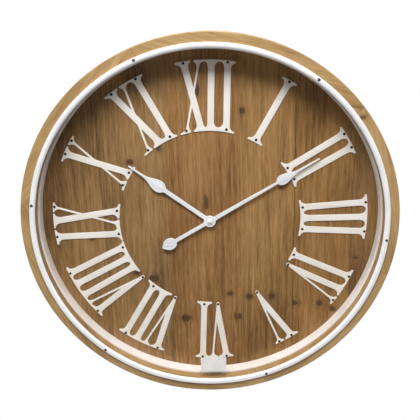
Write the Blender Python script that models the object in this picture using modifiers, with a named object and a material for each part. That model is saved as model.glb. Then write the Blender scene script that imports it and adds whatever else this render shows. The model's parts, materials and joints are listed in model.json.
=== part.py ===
"""Schoolhouse wall clock: wooden case, plank dial with metal numerals, glass, bezel and quartz movement.

Every piece is modelled in the clock's own frame, held by the empty dial_centre: x runs to the right as
the reader sees the dial, y runs up and z runs from the wall (0) towards the reader. The empty turns
that frame so that the dial faces -Y of the world, with the world's origin at the hanging point.
"""

import math

import bmesh
import bpy
from mathutils import Matrix

MM = 0.001

# ---- Clearances -------------------------------------------------------------------------------
GAP = 0.3 * MM            # between pieces that rest on each other
RUN_GAP = 0.35 * MM       # radial, between turning pieces and their bores
JOINT_GAP = 0.4 * MM      # butt joints of the rim and joints of the planks
LAP = 0.2 * MM            # how far shapes joined into one piece run into each other
TOOTH_BACKLASH = 0.16     # share of the tooth width taken off for backlash

# ---- Case -------------------------------------------------------------------------------------
RIM_RADIUS = 400 * MM
RIM_WIDTH = 29 * MM
RIM_THICKNESS = 22 * MM
HOOP_STEP_BACK = 3 * MM        # the hoop stands this far inside the rim
HOOP_BACK = 1.8 * MM
HOOP_DEPTH = 55.9 * MM
RIM_JOINTS = (52, 107, 163, 218, 279, 339)   # degrees clockwise from the top
ROUND_STEPS = 72

# ---- Dial -------------------------------------------------------------------------------------
DIAL_THICKNESS = 9 * MM
DIAL_EDGE_GAP = 0.5 * MM
PLANK_JOINTS = (-0.629, -0.239, 0.181, 0.497, 0.837)   # shares of the dial's radius
BATTEN_HEIGHT = 210 * MM       # centre of each batten above and below the hands' axis
BATTEN_WIDTH = 60 * MM
BATTEN_THICKNESS = 14 * MM
BATTEN_END_GAP = 4 * MM
LINER_THICKNESS = 4.7 * MM
LINER_STEP = 1 * MM             # the liner ends this far behind the rim's back

# ---- Glass, bezel and label ---------------------------------------------------------------------
GLASS_THICKNESS = 3 * MM
GLASS_LAP = 2 * MM             # how far the glass runs into the rim's rebate
BEZEL_LAP = 9 * MM              # how far the bezel lies over the wood
BEZEL_LIP = 2.5 * MM            # and over the glass, inside the wood's inner edge
BEZEL_HEIGHT = 5 * MM
BEZEL_EDGE = 1.6 * MM
TAG_WIDTH = 58 * MM
TAG_HEIGHT = 36 * MM
TAG_THICKNESS = 0.4 * MM
TAG_MARGIN = 21 * MM           # from the tag's lower edge to the wood's inner edge

# ---- Hanging ----------------------------------------------------------------------------------
HANG_ABOVE_MIDDLE = 7 * MM     # the hanging point above the middle of the hoop's wall
HANGER_WIDTH = 70 * MM
HANGER_MARGIN = 1.5 * MM       # of the hoop's wall left above and below the plate
HANGER_THICKNESS = 1.5 * MM
KEYHOLE_SLOT_RADIUS = 2.2 * MM
KEYHOLE_ENTRY_RADIUS = 4.5 * MM
KEYHOLE_TRAVEL = 7 * MM
KEYHOLE_TOP_LAND = 4 * MM      # from the hanging point down to the slot's centre
HEAD_POCKET_DEPTH = 7 * MM
HEAD_POCKET_ROOM = 1.5 * MM    # all round the keyhole's entry
BUMPER_RADIUS = 9 * MM
BUMPER_ANGLES = (150, 210)     # degrees clockwise from the top

# ---- Numerals ---------------------------------------------------------------------------------
NUMERAL_MARGIN = 27.5 * MM     # from the numerals' outer arc to the wood's inner edge
NUMERAL_HEIGHT = 145.5 * MM
NUMERAL_THICKNESS = 1.7 * MM
THICK_STROKE = 13.8 * MM
THIN_STROKE = 4.4 * MM
OUTER_BAR = 3.6 * MM           # depth of a foot at its tip
INNER_BAR = 4.2 * MM
INNER_JOINED_BAR = 7.5 * MM    # depth of the inner bar between two joined strokes
BRACKET = 11 * MM              # length of the curve from a foot into its stroke
VEE_TIP_HEIGHT = 6 * MM         # of a V's tip above the numerals' inner arc
VEE_TIP_WIDTH = 6 * MM
VEE_KNOB_RADIUS = 3.8 * MM
VEE_KNOB_DROP = 1 * MM
BRACKET_STEPS = 3

# A stroke is (kind, offset at the outer edge, offset at the inner edge). Offsets are millimetres
# sideways from the numeral's own radius, at the two radii that they are drawn for, and scale with
# the numerals' arcs. An outer or an inner foot is (start, end) of its edge.
DRAWN_OUTER_RADIUS = 343.5 * MM
DRAWN_INNER_RADIUS = 198 * MM
THICK, THIN, VEE = "thick", "thin", "vee"
NUMERALS = (
    ("numeral_1", 1, ((THICK, 0, 0),), ((-17, 17),), ((-17, 17),)),
    (
        "numeral_2", 2, ((THICK, -16.6, -14.5), (THICK, 16.6, 14.5)),
        ((-33, 0), (0, 33)), ((-31, 0), (0, 31)),
    ),
    (
        "numeral_3", 3, ((THICK, -33.7, -25), (THICK, 0, 0), (THICK, 33.7, 25)),
        ((-51, -17), (-17, 17), (17, 51)), ((-41, -12.5), (-12.5, 12.5), (12.5, 41)),
    ),
    (
        "numeral_4", 4, ((THICK, -32.3, -18.4), (VEE, (2.5, 34.4), 7.7)),
        ((-49.5, -15), (-15, 19.7), (24, 45.5)), ((-34.5, -1.5), None),
    ),
    ("numeral_5", 5, ((VEE, (-14.5, 18), -0.9),), ((-30.5, 2.5), (6.2, 28)), (None,)),
    (
        "numeral_6", 6, ((VEE, (-30.5, 2.5), -13.2), (THICK, 25.7, 18.1)),
        ((-46, -12.3), (-10.7, 11.5), (11.5, 42.5)), (None, (0.5, 33.7)),
    ),
    (
        "numeral_7", 7, ((VEE, (-42.7, -10.8), -20.2), (THICK, 10.6, 9), (THICK, 40.4, 37.4)),
        ((-59, -25.5), (-24, -2.5), (-2.5, 25.5), (25.5, 57)), (None, (-9.5, 23), (23, 53)),
    ),
    (
        "numeral_8", 8,
        ((VEE, (-53.1, -26.1), -36.5), (THICK, -4.3, -5.2), (THICK, 27, 19.8), (THICK, 56.3, 46.9)),
        ((-69, -33), (-33, -17.5), (-17.5, 11.5), (11.5, 41.5), (41.5, 71.5)),
        (None, (-21, 7), (7, 33.5), (33.5, 58.9)),
    ),
    (
        "numeral_9", 9, ((THICK, -30.4, -26.7), (THICK, 6.2, 27.4), (THIN, 39.5, -4)),
        ((-49, -14.7), (-10.2, 23.5), (27, 49)), ((-42.5, -13), (9.5, 42), (-13, 6)),
    ),
    (
        "numeral_10", 10, ((THICK, -15.7, 12.2), (THIN, 16.7, -18.8)),
        ((-34, 1), (5.5, 27.5)), ((-3.2, 28.5), (-30, -7.5)),
    ),
    (
        "numeral_11", 11, ((THICK, -29.5, 1), (THIN, 2, -29.3), (THICK, 30.5, 26.1)),
        ((-46, -13), (-8, 13.8), (13.8, 46.5)), ((-15.5, 13.5), (-41, -20), (13.5, 40)),
    ),
    (
        "numeral_12", 12,
        ((THICK, -44.6, -11.5), (THIN, -12.3, -43.3), (THICK, 12.6, 7), (THICK, 45.4, 40.1)),
        ((-62, -30.5), (-23.5, -2), (-2, 29), (29, 62)), ((-27.5, -2), (-55.5, -34), (-2, 23.5), (23.5, 56)),
    ),
)

# ---- Hands --------------------------------------------------------------------------------------
MINUTE_HAND_ANGLE = 60.3       # degrees clockwise from the top, as the clock rests
HOUR_HAND_ANGLE = 307.1
HAND_THICKNESS = 1.4 * MM
HAND_GAP = 0.8 * MM            # in front of the bushing, and between the hands
HUB_RADIUS = 13.3 * MM
HOUR_HUB_RADIUS = 12 * MM
MINUTE_SHANK = 4.7 * MM        # half width beside the hub
MINUTE_NECK = 2.7 * MM         # half width where the spade starts
MINUTE_NECK_AT = 169 * MM
MINUTE_SPADE = 11.5 * MM       # half width of the spade at its widest
MINUTE_SPADE_AT = 182 * MM
MINUTE_TAPER_END = 218 * MM
MINUTE_TIP = 271 * MM
TAPER_WIDTH = 2.6 * MM         # half widths of both hands' tips
TIP_WIDTH = 1.6 * MM
TAIL_SHANK = 4.1 * MM
TAIL_START = 88 * MM
TAIL_DROP = 14 * MM            # half width of the tail's drop
TAIL_DROP_AT = 103 * MM
TAIL_END = 123 * MM
HOUR_SHANK = 4.7 * MM
HOUR_NECK_AT = 121 * MM
HOUR_SPADE = 13.3 * MM
HOUR_SPADE_AT = 135 * MM
HOUR_TAPER_END = 175 * MM
HOUR_TIP = 212 * MM
CAP_RADIUS = 8 * MM
CAP_HEIGHT = 4.2 * MM

# ---- Movement -----------------------------------------------------------------------------------
MOVEMENT_WALL = 1.2 * MM
GASKET_THICKNESS = 0.7 * MM
GASKET_SHARE = 0.8             # of the movement's side
BATTERY_RADIUS = 7.05 * MM     # an AA cell
BATTERY_LENGTH = 49 * MM
BATTERY_NUB_LENGTH = 1.2 * MM
BATTERY_NUB_RADIUS = 2.6 * MM
BATTERY_END_ROOM = 7 * MM      # for both contacts and both walls
BATTERY_HEADROOM = 1.9 * MM    # the movement is this much deeper than the cell
CONTACT_THICKNESS = 0.4 * MM
CONTACT_HALF = 5 * MM
ARBOR_RADIUS = 0.6 * MM
MINUTE_ARBOR_RADIUS = 1.6 * MM
TUBE_WALL = 0.95 * MM          # of the hour wheel's tube
BUSHING_WALL = 0.65 * MM
BUSHING_PROUD = 0.6 * MM       # how far the bushing stands out of its nut
FLANGE_WIDTH = 2.6 * MM
FLANGE_THICKNESS = 1 * MM
WASHER_WIDTH = 4.8 * MM
WASHER_THICKNESS = 0.8 * MM
NUT_WALL = 1.8 * MM            # between the nut's bore and its flats
NUT_THICKNESS = 2.6 * MM

# Wheels: teeth and module. Distances between arbors follow from them.
TRAIN_MODULE = 0.4 * MM
MOTION_MODULE = 0.5 * MM
CENTRE_TEETH = 48
LEAF_COUNT = 8                 # leaves of each train pinion
SECOND_TEETH = 40
FIRST_TEETH = 32
CANNON_TEETH = 12
MINUTE_WHEEL_TEETH = 36
MINUTE_PINION_TEETH = 10
HOUR_TEETH = 40
SECOND_DIRECTION = 125         # degrees, from the centre to the second wheel
FIRST_DIRECTION = 160          # from the second wheel to the first
ROTOR_DIRECTION = 60           # from the first wheel to the rotor
MINUTE_WHEEL_DIRECTION = 30    # from the centre to the minute wheel, and on to the setting stem
WHEEL_THICKNESS = 1 * MM
WHEEL_SPACING = 0.6 * MM       # between one wheel and the next along their arbors
PINION_OVERHANG = 0.2 * MM     # of a pinion past the wheel that it drives
FIRST_WHEEL_RISE = 1.4 * MM    # above the movement's back cover
CANNON_RISE = 1.2 * MM         # above the centre wheel
CANNON_HEIGHT = 1.9 * MM
MINUTE_WHEEL_RISE = 0.4 * MM   # above the foot of the cannon pinion
HOUR_WHEEL_RISE = 3.2 * MM     # above the foot of the cannon pinion
ROTOR_MAGNET_RADIUS = 3 * MM
ROTOR_MAGNET_HEIGHT = 2.4 * MM
STATOR_RISE = 4.8 * MM         # above the movement's back cover
STATOR_THICKNESS = 1.2 * MM
STATOR_FOOT = 15.4 * MM        # height of its lower edge above the hands' axis
STATOR_HEIGHT = 9 * MM
STATOR_SIDE = 5 * MM           # on each side of the rotor
STATOR_BAR = 1.5 * MM
STATOR_LEG = 4 * MM
STATOR_RIGHT = 22 * MM
COIL_RADIUS = 3.3 * MM
COIL_LENGTH = 18 * MM
COIL_BORE = 1.6 * MM
COIL_FLANGE = 1 * MM
COIL_FLANGE_RISE = 0.5 * MM
CORE_WIDTH = 2 * MM
CORE_THICKNESS = 1.6 * MM
CORE_LAP = 2 * MM              # over each leg of the stator
BOARD_THICKNESS = 1 * MM
BOARD_MARGIN = 1 * MM
KNOB_RADIUS = 6.5 * MM
KNOB_STEM_RADIUS = 1.5 * MM
KNOB_THICKNESS = 2.2 * MM
KNOB_LIFT = 1 * MM             # between the knob and the movement's back cover

# ---- What follows from them ---------------------------------------------------------------------
RIM_INNER_RADIUS = RIM_RADIUS - RIM_WIDTH
RIM_BACK = HOOP_BACK + HOOP_DEPTH + GAP
RIM_FRONT = RIM_BACK + RIM_THICKNESS
HOOP_RADIUS = RIM_RADIUS - HOOP_STEP_BACK
HOOP_MIDDLE = (HOOP_RADIUS + RIM_INNER_RADIUS) / 2
HANG_HEIGHT = HOOP_MIDDLE + HANG_ABOVE_MIDDLE
HANGER_HEIGHT = HOOP_RADIUS - RIM_INNER_RADIUS - 2 * HANGER_MARGIN
GLASS_RADIUS = RIM_INNER_RADIUS + GLASS_LAP
GLASS_BACK = RIM_FRONT - GLASS_THICKNESS - GAP
GLASS_FRONT = RIM_FRONT - GAP
REBATE_RADIUS = GLASS_RADIUS + GAP
REBATE_BACK = GLASS_BACK - GAP
KNOB_BACK = HOOP_BACK
MOVEMENT_SIDE = BATTERY_LENGTH + BATTERY_END_ROOM
MOVEMENT_BACK = KNOB_BACK + KNOB_THICKNESS + KNOB_LIFT
MOVEMENT_FRONT = MOVEMENT_BACK + 2 * BATTERY_RADIUS + BATTERY_HEADROOM
DIAL_BACK = MOVEMENT_FRONT + GASKET_THICKNESS + GAP
DIAL_FRONT = DIAL_BACK + DIAL_THICKNESS
DIAL_RADIUS = RIM_INNER_RADIUS - DIAL_EDGE_GAP
LINER_FRONT = RIM_BACK - LINER_STEP
BEZEL_OUTER_RADIUS = RIM_INNER_RADIUS + BEZEL_LAP
BEZEL_INNER_RADIUS = RIM_INNER_RADIUS - BEZEL_LIP
TAG_FOOT_RADIUS = RIM_INNER_RADIUS - TAG_MARGIN
NUMERAL_BACK = DIAL_FRONT + GAP
NUMERAL_OUTER_RADIUS = RIM_INNER_RADIUS - NUMERAL_MARGIN
NUMERAL_INNER_RADIUS = NUMERAL_OUTER_RADIUS - NUMERAL_HEIGHT
OUTER_SCALE = MM * NUMERAL_OUTER_RADIUS / DRAWN_OUTER_RADIUS
INNER_SCALE = MM * NUMERAL_INNER_RADIUS / DRAWN_INNER_RADIUS
TUBE_BORE = MINUTE_ARBOR_RADIUS + RUN_GAP
HOUR_TUBE_RADIUS = TUBE_BORE + TUBE_WALL
BUSHING_BORE = HOUR_TUBE_RADIUS + RUN_GAP
BUSHING_RADIUS = BUSHING_BORE + BUSHING_WALL
BUSHING_HOLE = BUSHING_RADIUS + GAP
WASHER_FRONT = DIAL_FRONT + GAP + WASHER_THICKNESS
NUT_BACK = WASHER_FRONT + GAP
NUT_FRONT = NUT_BACK + NUT_THICKNESS
BUSHING_END = NUT_FRONT + BUSHING_PROUD
HOUR_HAND_BACK = BUSHING_END + HAND_GAP
MINUTE_HAND_BACK = HOUR_HAND_BACK + HAND_THICKNESS + HAND_GAP
CAP_BACK = MINUTE_HAND_BACK + HAND_THICKNESS + GAP
ARBOR_FRONT = CAP_BACK + 2 * MM
TUBE_FRONT = HOUR_HAND_BACK + HAND_THICKNESS
BAY_HEIGHT = 2 * (BATTERY_RADIUS + RUN_GAP) + MOVEMENT_WALL
BAY_TOP = BAY_HEIGHT - MOVEMENT_SIDE / 2
WHEEL_STEP = WHEEL_THICKNESS + WHEEL_SPACING
FIRST_WHEEL_BACK = MOVEMENT_BACK + MOVEMENT_WALL + FIRST_WHEEL_RISE
SECOND_WHEEL_BACK = FIRST_WHEEL_BACK + WHEEL_STEP
CENTRE_WHEEL_BACK = SECOND_WHEEL_BACK + WHEEL_STEP
CANNON_BACK = CENTRE_WHEEL_BACK + WHEEL_THICKNESS + CANNON_RISE
HOUR_WHEEL_BACK = CANNON_BACK + HOUR_WHEEL_RISE
STATOR_BACK = MOVEMENT_BACK + MOVEMENT_WALL + STATOR_RISE
PIVOT_BACK = MOVEMENT_BACK + MOVEMENT_WALL + RUN_GAP
PIVOT_FRONT = MOVEMENT_FRONT - MOVEMENT_WALL - RUN_GAP
WHEEL_AXIS_GAP = (CENTRE_TEETH + LEAF_COUNT) * TRAIN_MODULE / 2
MOTION_AXIS_GAP = (CANNON_TEETH + MINUTE_WHEEL_TEETH) * MOTION_MODULE / 2
HOUR_MODULE = 2 * MOTION_AXIS_GAP / (MINUTE_PINION_TEETH + HOUR_TEETH)


def polar(radius, degrees, start=(0, 0)):
    """The point this far from start, counter-clockwise from +x."""
    turn = math.radians(degrees)
    return (start[0] + radius * math.cos(turn), start[1] + radius * math.sin(turn))


def clock_polar(radius, degrees):
    """The point at this angle clockwise from the top of the dial."""
    return polar(radius, 90 - degrees)


CENTRE = (0, 0)
SECOND_AXIS = polar(WHEEL_AXIS_GAP, SECOND_DIRECTION)
FIRST_AXIS = polar((SECOND_TEETH + LEAF_COUNT) * TRAIN_MODULE / 2, FIRST_DIRECTION, SECOND_AXIS)
ROTOR_AXIS = polar((FIRST_TEETH + LEAF_COUNT) * TRAIN_MODULE / 2, ROTOR_DIRECTION, FIRST_AXIS)
MINUTE_WHEEL_AXIS = polar(MOTION_AXIS_GAP, MINUTE_WHEEL_DIRECTION)
KNOB_AXIS = polar(MOTION_AXIS_GAP, MINUTE_WHEEL_DIRECTION, MINUTE_WHEEL_AXIS)


# ---- Scene, collections and materials -------------------------------------------------------------
def clear_scene():
    for item in list(bpy.data.objects):
        bpy.data.objects.remove(item, do_unlink=True)


def new_collection(name, hidden=False):
    made = bpy.data.collections.new(name)
    bpy.context.scene.collection.children.link(made)
    made.hide_render = hidden
    return made


def linear(channel):
    return channel / 12.92 if channel <= 0.04045 else ((channel + 0.055) / 1.055) ** 2.4


def material(name, colour, roughness, metallic=0.0, alpha=1.0):
    """A Principled material. colour is an sRGB hex value."""
    made = bpy.data.materials.new(name)
    made.use_nodes = True
    shader = made.node_tree.nodes["Principled BSDF"]
    channels = [int(colour[i : i + 2], 16) / 255 for i in (1, 3, 5)]
    shader.inputs["Base Color"].default_value = [linear(c) for c in channels] + [1]
    shader.inputs["Roughness"].default_value = roughness
    shader.inputs["Metallic"].default_value = metallic
    shader.inputs["Alpha"].default_value = alpha
    return made


def place(item, finish, location=(0, 0), turn=0):
    """Puts a piece on the clock, its origin at location, turned clockwise by turn degrees."""
    for owner in list(item.users_collection):
        owner.objects.unlink(item)
    clock.objects.link(item)
    item.parent = dial_centre
    item.location = (location[0], location[1], 0)
    item.rotation_euler = (0, 0, -math.radians(turn))
    item.data.materials.clear()
    item.data.materials.append(finish)
    return item


def as_tool(item, location=(0, 0), turn=0):
    """Makes a helper of a shape: it cuts or joins others and is not a piece itself."""
    for owner in list(item.users_collection):
        owner.objects.unlink(item)
    cutters.objects.link(item)
    item.parent = dial_centre
    item.location = (location[0], location[1], 0)
    item.rotation_euler = (0, 0, -math.radians(turn))
    item.hide_render = True
    item.display_type = "WIRE"
    return item


def boolean(item, other, operation):
    step = item.modifiers.new(other.name, "BOOLEAN")
    step.operation = operation
    step.object = other
    return item


def cut(item, *others):
    for other in others:
        boolean(item, other, "DIFFERENCE")
    return item


def join(item, *others):
    for other in others:
        boolean(item, other, "UNION")
    return item


# ---- Shapes ---------------------------------------------------------------------------------------
def new_object(name, mesh):
    item = bpy.data.objects.new(name, mesh)
    bpy.context.scene.collection.objects.link(item)
    return item


def smooth(item):
    item.data.shade_smooth()
    item.data.set_sharp_from_angle(angle=math.radians(35))
    return item


def flat_plate(name, outlines, back, front):
    """A flat piece with these outlines, the first one outside and the rest holes."""
    curve = bpy.data.curves.new(name + "_outline", "CURVE")
    curve.dimensions = "2D"
    curve.fill_mode = "BOTH"
    curve.extrude = (front - back) / 2
    for outline in outlines:
        spline = curve.splines.new("POLY")
        spline.points.add(len(outline) - 1)
        for point, (x, y) in zip(spline.points, outline):
            point.co = (x, y, 0, 1)
        spline.use_cyclic_u = True
    drawn = new_object(name + "_outline", curve)
    mesh = bpy.data.meshes.new_from_object(drawn.evaluated_get(bpy.context.evaluated_depsgraph_get()))
    bpy.data.objects.remove(drawn, do_unlink=True)
    bpy.data.curves.remove(curve)
    shape = bmesh.new()
    shape.from_mesh(mesh)
    bmesh.ops.remove_doubles(shape, verts=shape.verts, dist=1e-6)
    bmesh.ops.translate(shape, verts=shape.verts, vec=(0, 0, (front + back) / 2))
    bmesh.ops.recalc_face_normals(shape, faces=shape.faces)
    shape.to_mesh(mesh)
    shape.free()
    return new_object(name, mesh)


def block(name, low, high):
    """A box between two corners."""
    mesh = bpy.data.meshes.new(name)
    shape = bmesh.new()
    size = [h - l for l, h in zip(low, high)]
    middle = [(h + l) / 2 for l, h in zip(low, high)]
    bmesh.ops.create_cube(shape, size=1, matrix=Matrix.Translation(middle) @ Matrix.Diagonal((*size, 1)))
    shape.to_mesh(mesh)
    shape.free()
    return new_object(name, mesh)


def turned(name, profile, steps, closed):
    """A turned piece. The profile of (radius, z) points runs down its outer side."""
    mesh = bpy.data.meshes.new(name)
    count = len(profile)
    edges = [(i, i + 1) for i in range(count - 1)]
    if closed:
        edges.append((count - 1, 0))
    mesh.from_pydata([(radius, 0, z) for radius, z in profile], edges, [])
    item = new_object(name, mesh)
    screw = item.modifiers.new("turn", "SCREW")
    screw.axis = "Z"
    screw.steps = steps
    screw.render_steps = steps
    screw.use_merge_vertices = True
    screw.merge_threshold = 1e-6
    screw.use_smooth_shade = True
    return item


def ring(name, inner, outer, back, front, steps):
    return turned(name, [(outer, front), (outer, back), (inner, back), (inner, front)], steps, True)


def rod(name, radius, back, front, steps):
    return turned(name, [(0, front), (radius, front), (radius, back), (0, back)], steps, False)


def arc(radius, start, end, steps):
    """Points of an arc about the hands' axis, between two clockwise angles."""
    return [clock_polar(radius, start + (end - start) * i / steps) for i in range(steps + 1)]


def circle(radius, steps, middle=(0, 0)):
    return [polar(radius, 360 * i / steps, middle) for i in range(steps)]


def gear_outline(teeth, module):
    """A wheel's outline: straight-sided teeth, one of them on the +x side."""
    pitch = 360 / teeth
    root = (teeth / 2 - 1.25) * module
    pitch_radius = teeth / 2 * module
    tip = (teeth / 2 + 0.85) * module
    half = pitch / 4 * (1 - TOOTH_BACKLASH)
    lean = math.degrees(math.tan(math.radians(18)) * module / pitch_radius)
    points = []
    for tooth in range(teeth):
        middle = tooth * pitch
        points.append(polar(root, middle - half - 1.25 * lean))
        points.append(polar(tip, middle - half + 0.85 * lean))
        points.append(polar(tip, middle + half - 0.85 * lean))
        points.append(polar(root, middle + half + 1.25 * lean))
    return points


# ---- Case -------------------------------------------------------------------------------------------
def make_case():
    hoop = ring("case_hoop", RIM_INNER_RADIUS, HOOP_RADIUS, HOOP_BACK, HOOP_BACK + HOOP_DEPTH, ROUND_STEPS)
    place(hoop, wood_side)
    pocket_radius = KEYHOLE_ENTRY_RADIUS + HEAD_POCKET_ROOM
    pocket = rod("screw_head_pocket", pocket_radius, -GAP, HOOP_BACK + HEAD_POCKET_DEPTH, 16)
    cut(hoop, as_tool(pocket, (0, HANG_HEIGHT - KEYHOLE_TOP_LAND - KEYHOLE_TRAVEL / 2)))

    rebate = as_tool(rod("glass_rebate", REBATE_RADIUS, REBATE_BACK, RIM_FRONT + 1 * MM, ROUND_STEPS))
    half_gap = math.degrees(JOINT_GAP / 2 / RIM_RADIUS)
    ends = RIM_JOINTS[1:] + (RIM_JOINTS[0] + 360,)
    for number, (start, end) in enumerate(zip(RIM_JOINTS, ends), 1):
        steps = round((end - start) / (360 / ROUND_STEPS))
        outside = arc(RIM_RADIUS, start + half_gap, end - half_gap, steps)
        inside = arc(RIM_INNER_RADIUS, end - half_gap, start + half_gap, steps)
        segment = flat_plate(f"rim_segment_{number}", [outside + inside], RIM_BACK, RIM_FRONT)
        cut(place(segment, wood_rim), rebate)


def make_dial():
    joints = [share * DIAL_RADIUS for share in (-1,) + PLANK_JOINTS + (1,)]
    hole = circle(BUSHING_HOLE, 20)
    last = len(joints) - 2
    for index in range(last + 1):
        left = joints[index] + (0 if index == 0 else JOINT_GAP / 2)
        right = joints[index + 1] - (0 if index == last else JOINT_GAP / 2)
        start = math.degrees(math.asin(left / DIAL_RADIUS))
        end = math.degrees(math.asin(right / DIAL_RADIUS))
        steps = max(3, round((end - start) / (360 / ROUND_STEPS)))
        top = arc(DIAL_RADIUS, start, end, steps)
        foot = arc(DIAL_RADIUS, 180 - end, 180 - start, steps)
        if index == 0:
            foot = foot[:-1]
        if index == last:
            foot = foot[1:]
        outlines = [top + foot]
        if left < -BUSHING_HOLE and right > BUSHING_HOLE:
            outlines.append(hole)
        place(flat_plate(f"dial_plank_{index + 1}", outlines, DIAL_BACK, DIAL_FRONT), wood_dial)

    far_edge = BATTEN_HEIGHT + BATTEN_WIDTH / 2
    length = math.sqrt(DIAL_RADIUS**2 - far_edge**2) - BATTEN_END_GAP
    batten_front = DIAL_BACK - GAP
    for name, side in (("back_batten_upper", 1), ("back_batten_lower", -1)):
        low = (-length, side * BATTEN_HEIGHT - BATTEN_WIDTH / 2, batten_front - BATTEN_THICKNESS)
        high = (length, side * BATTEN_HEIGHT + BATTEN_WIDTH / 2, batten_front)
        place(block(name, low, high), wood_side)

    outer = RIM_INNER_RADIUS - GAP
    liner = ring("liner_hoop", outer - LINER_THICKNESS, outer, DIAL_FRONT + GAP, LINER_FRONT, ROUND_STEPS)
    place(liner, white_liner)


def make_front():
    place(rod("glass_pane", GLASS_RADIUS, GLASS_BACK, GLASS_FRONT, ROUND_STEPS), glass)

    back = RIM_FRONT + GAP
    front = back + BEZEL_HEIGHT
    profile = [
        (BEZEL_OUTER_RADIUS - BEZEL_EDGE, front),
        (BEZEL_OUTER_RADIUS, front - BEZEL_EDGE),
        (BEZEL_OUTER_RADIUS, back),
        (BEZEL_INNER_RADIUS, back),
        (BEZEL_INNER_RADIUS, front - 2 * BEZEL_EDGE),
        (BEZEL_INNER_RADIUS + 2 * BEZEL_EDGE, front),
    ]
    place(turned("bezel_ring", profile, ROUND_STEPS, True), white_metal)

    top = TAG_HEIGHT - TAG_FOOT_RADIUS
    low = (-TAG_WIDTH / 2, -TAG_FOOT_RADIUS, GLASS_FRONT + GAP)
    high = (TAG_WIDTH / 2, top, GLASS_FRONT + GAP + TAG_THICKNESS)
    place(block("paper_tag", low, high), paper)


def make_hanging():
    top = HOOP_MIDDLE + HANGER_HEIGHT / 2
    slot_y = HANG_HEIGHT - KEYHOLE_TOP_LAND
    entry_y = slot_y - KEYHOLE_TRAVEL
    half = HANGER_WIDTH / 2
    outline = [(-half, top - HANGER_HEIGHT), (half, top - HANGER_HEIGHT), (half, top), (-half, top)]
    reach = math.degrees(math.asin(KEYHOLE_SLOT_RADIUS / KEYHOLE_ENTRY_RADIUS))
    keyhole = [polar(KEYHOLE_SLOT_RADIUS, 180 * i / 8, (0, slot_y)) for i in range(9)]
    sweep = 360 - 2 * reach
    keyhole += [polar(KEYHOLE_ENTRY_RADIUS, 90 + reach + sweep * i / 12, (0, entry_y)) for i in range(13)]
    place(flat_plate("hanger_plate", [outline, keyhole], 0, HANGER_THICKNESS), steel)

    for name, angle in zip(("wall_bumper_right", "wall_bumper_left"), BUMPER_ANGLES):
        bumper = rod(name, BUMPER_RADIUS, 0, HOOP_BACK - GAP, 20)
        place(bumper, rubber, clock_polar(HOOP_MIDDLE, angle))


# ---- Numerals ---------------------------------------------------------------------------------------
def on_radius(offset, radius):
    """The point this far sideways whose distance from the hands' axis is radius."""
    return (offset, math.sqrt(radius**2 - offset**2))


def bar_edge(start, end, radius, steps=2):
    return [on_radius(start + (end - start) * i / steps, radius) for i in range(steps + 1)]


def bracket(tip, root):
    """The concave curve from a foot's tip into the side of its stroke."""
    points = []
    for i in range(BRACKET_STEPS + 1):
        turn = math.pi / 2 * i / BRACKET_STEPS
        across = (root[0] - tip[0]) * math.sin(turn)
        along = (root[1] - tip[1]) * (1 - math.cos(turn))
        points.append((tip[0] + across, tip[1] + along))
    return points


def stroke_side(top, foot, side, height):
    """Where a stroke's side is at this height. top and foot are (centre, height, width)."""
    share = (height - foot[1]) / (top[1] - foot[1])
    centre = foot[0] + (top[0] - foot[0]) * share
    width = foot[2] + (top[2] - foot[2]) * share
    return (centre + side * width / 2, height)


def foot_outline(span, top, foot, outer, joined):
    """A foot: its edge on the numeral's outer or inner arc, and a bracket on each side."""
    start, end = span
    radius = NUMERAL_OUTER_RADIUS if outer else NUMERAL_INNER_RADIUS
    way = -1 if outer else 1
    edge = bar_edge(start, end, radius)
    sides = []
    for tip, side, is_joined in ((edge[-1], 1, joined[1]), (edge[0], -1, joined[0])):
        bar = OUTER_BAR if outer else (INNER_JOINED_BAR if is_joined else INNER_BAR)
        under = (tip[0], tip[1] + way * bar)
        sides.append(bracket(under, stroke_side(top, foot, side, under[1] + way * BRACKET)))
    return edge + sides[0] + sides[1][::-1]


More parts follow.
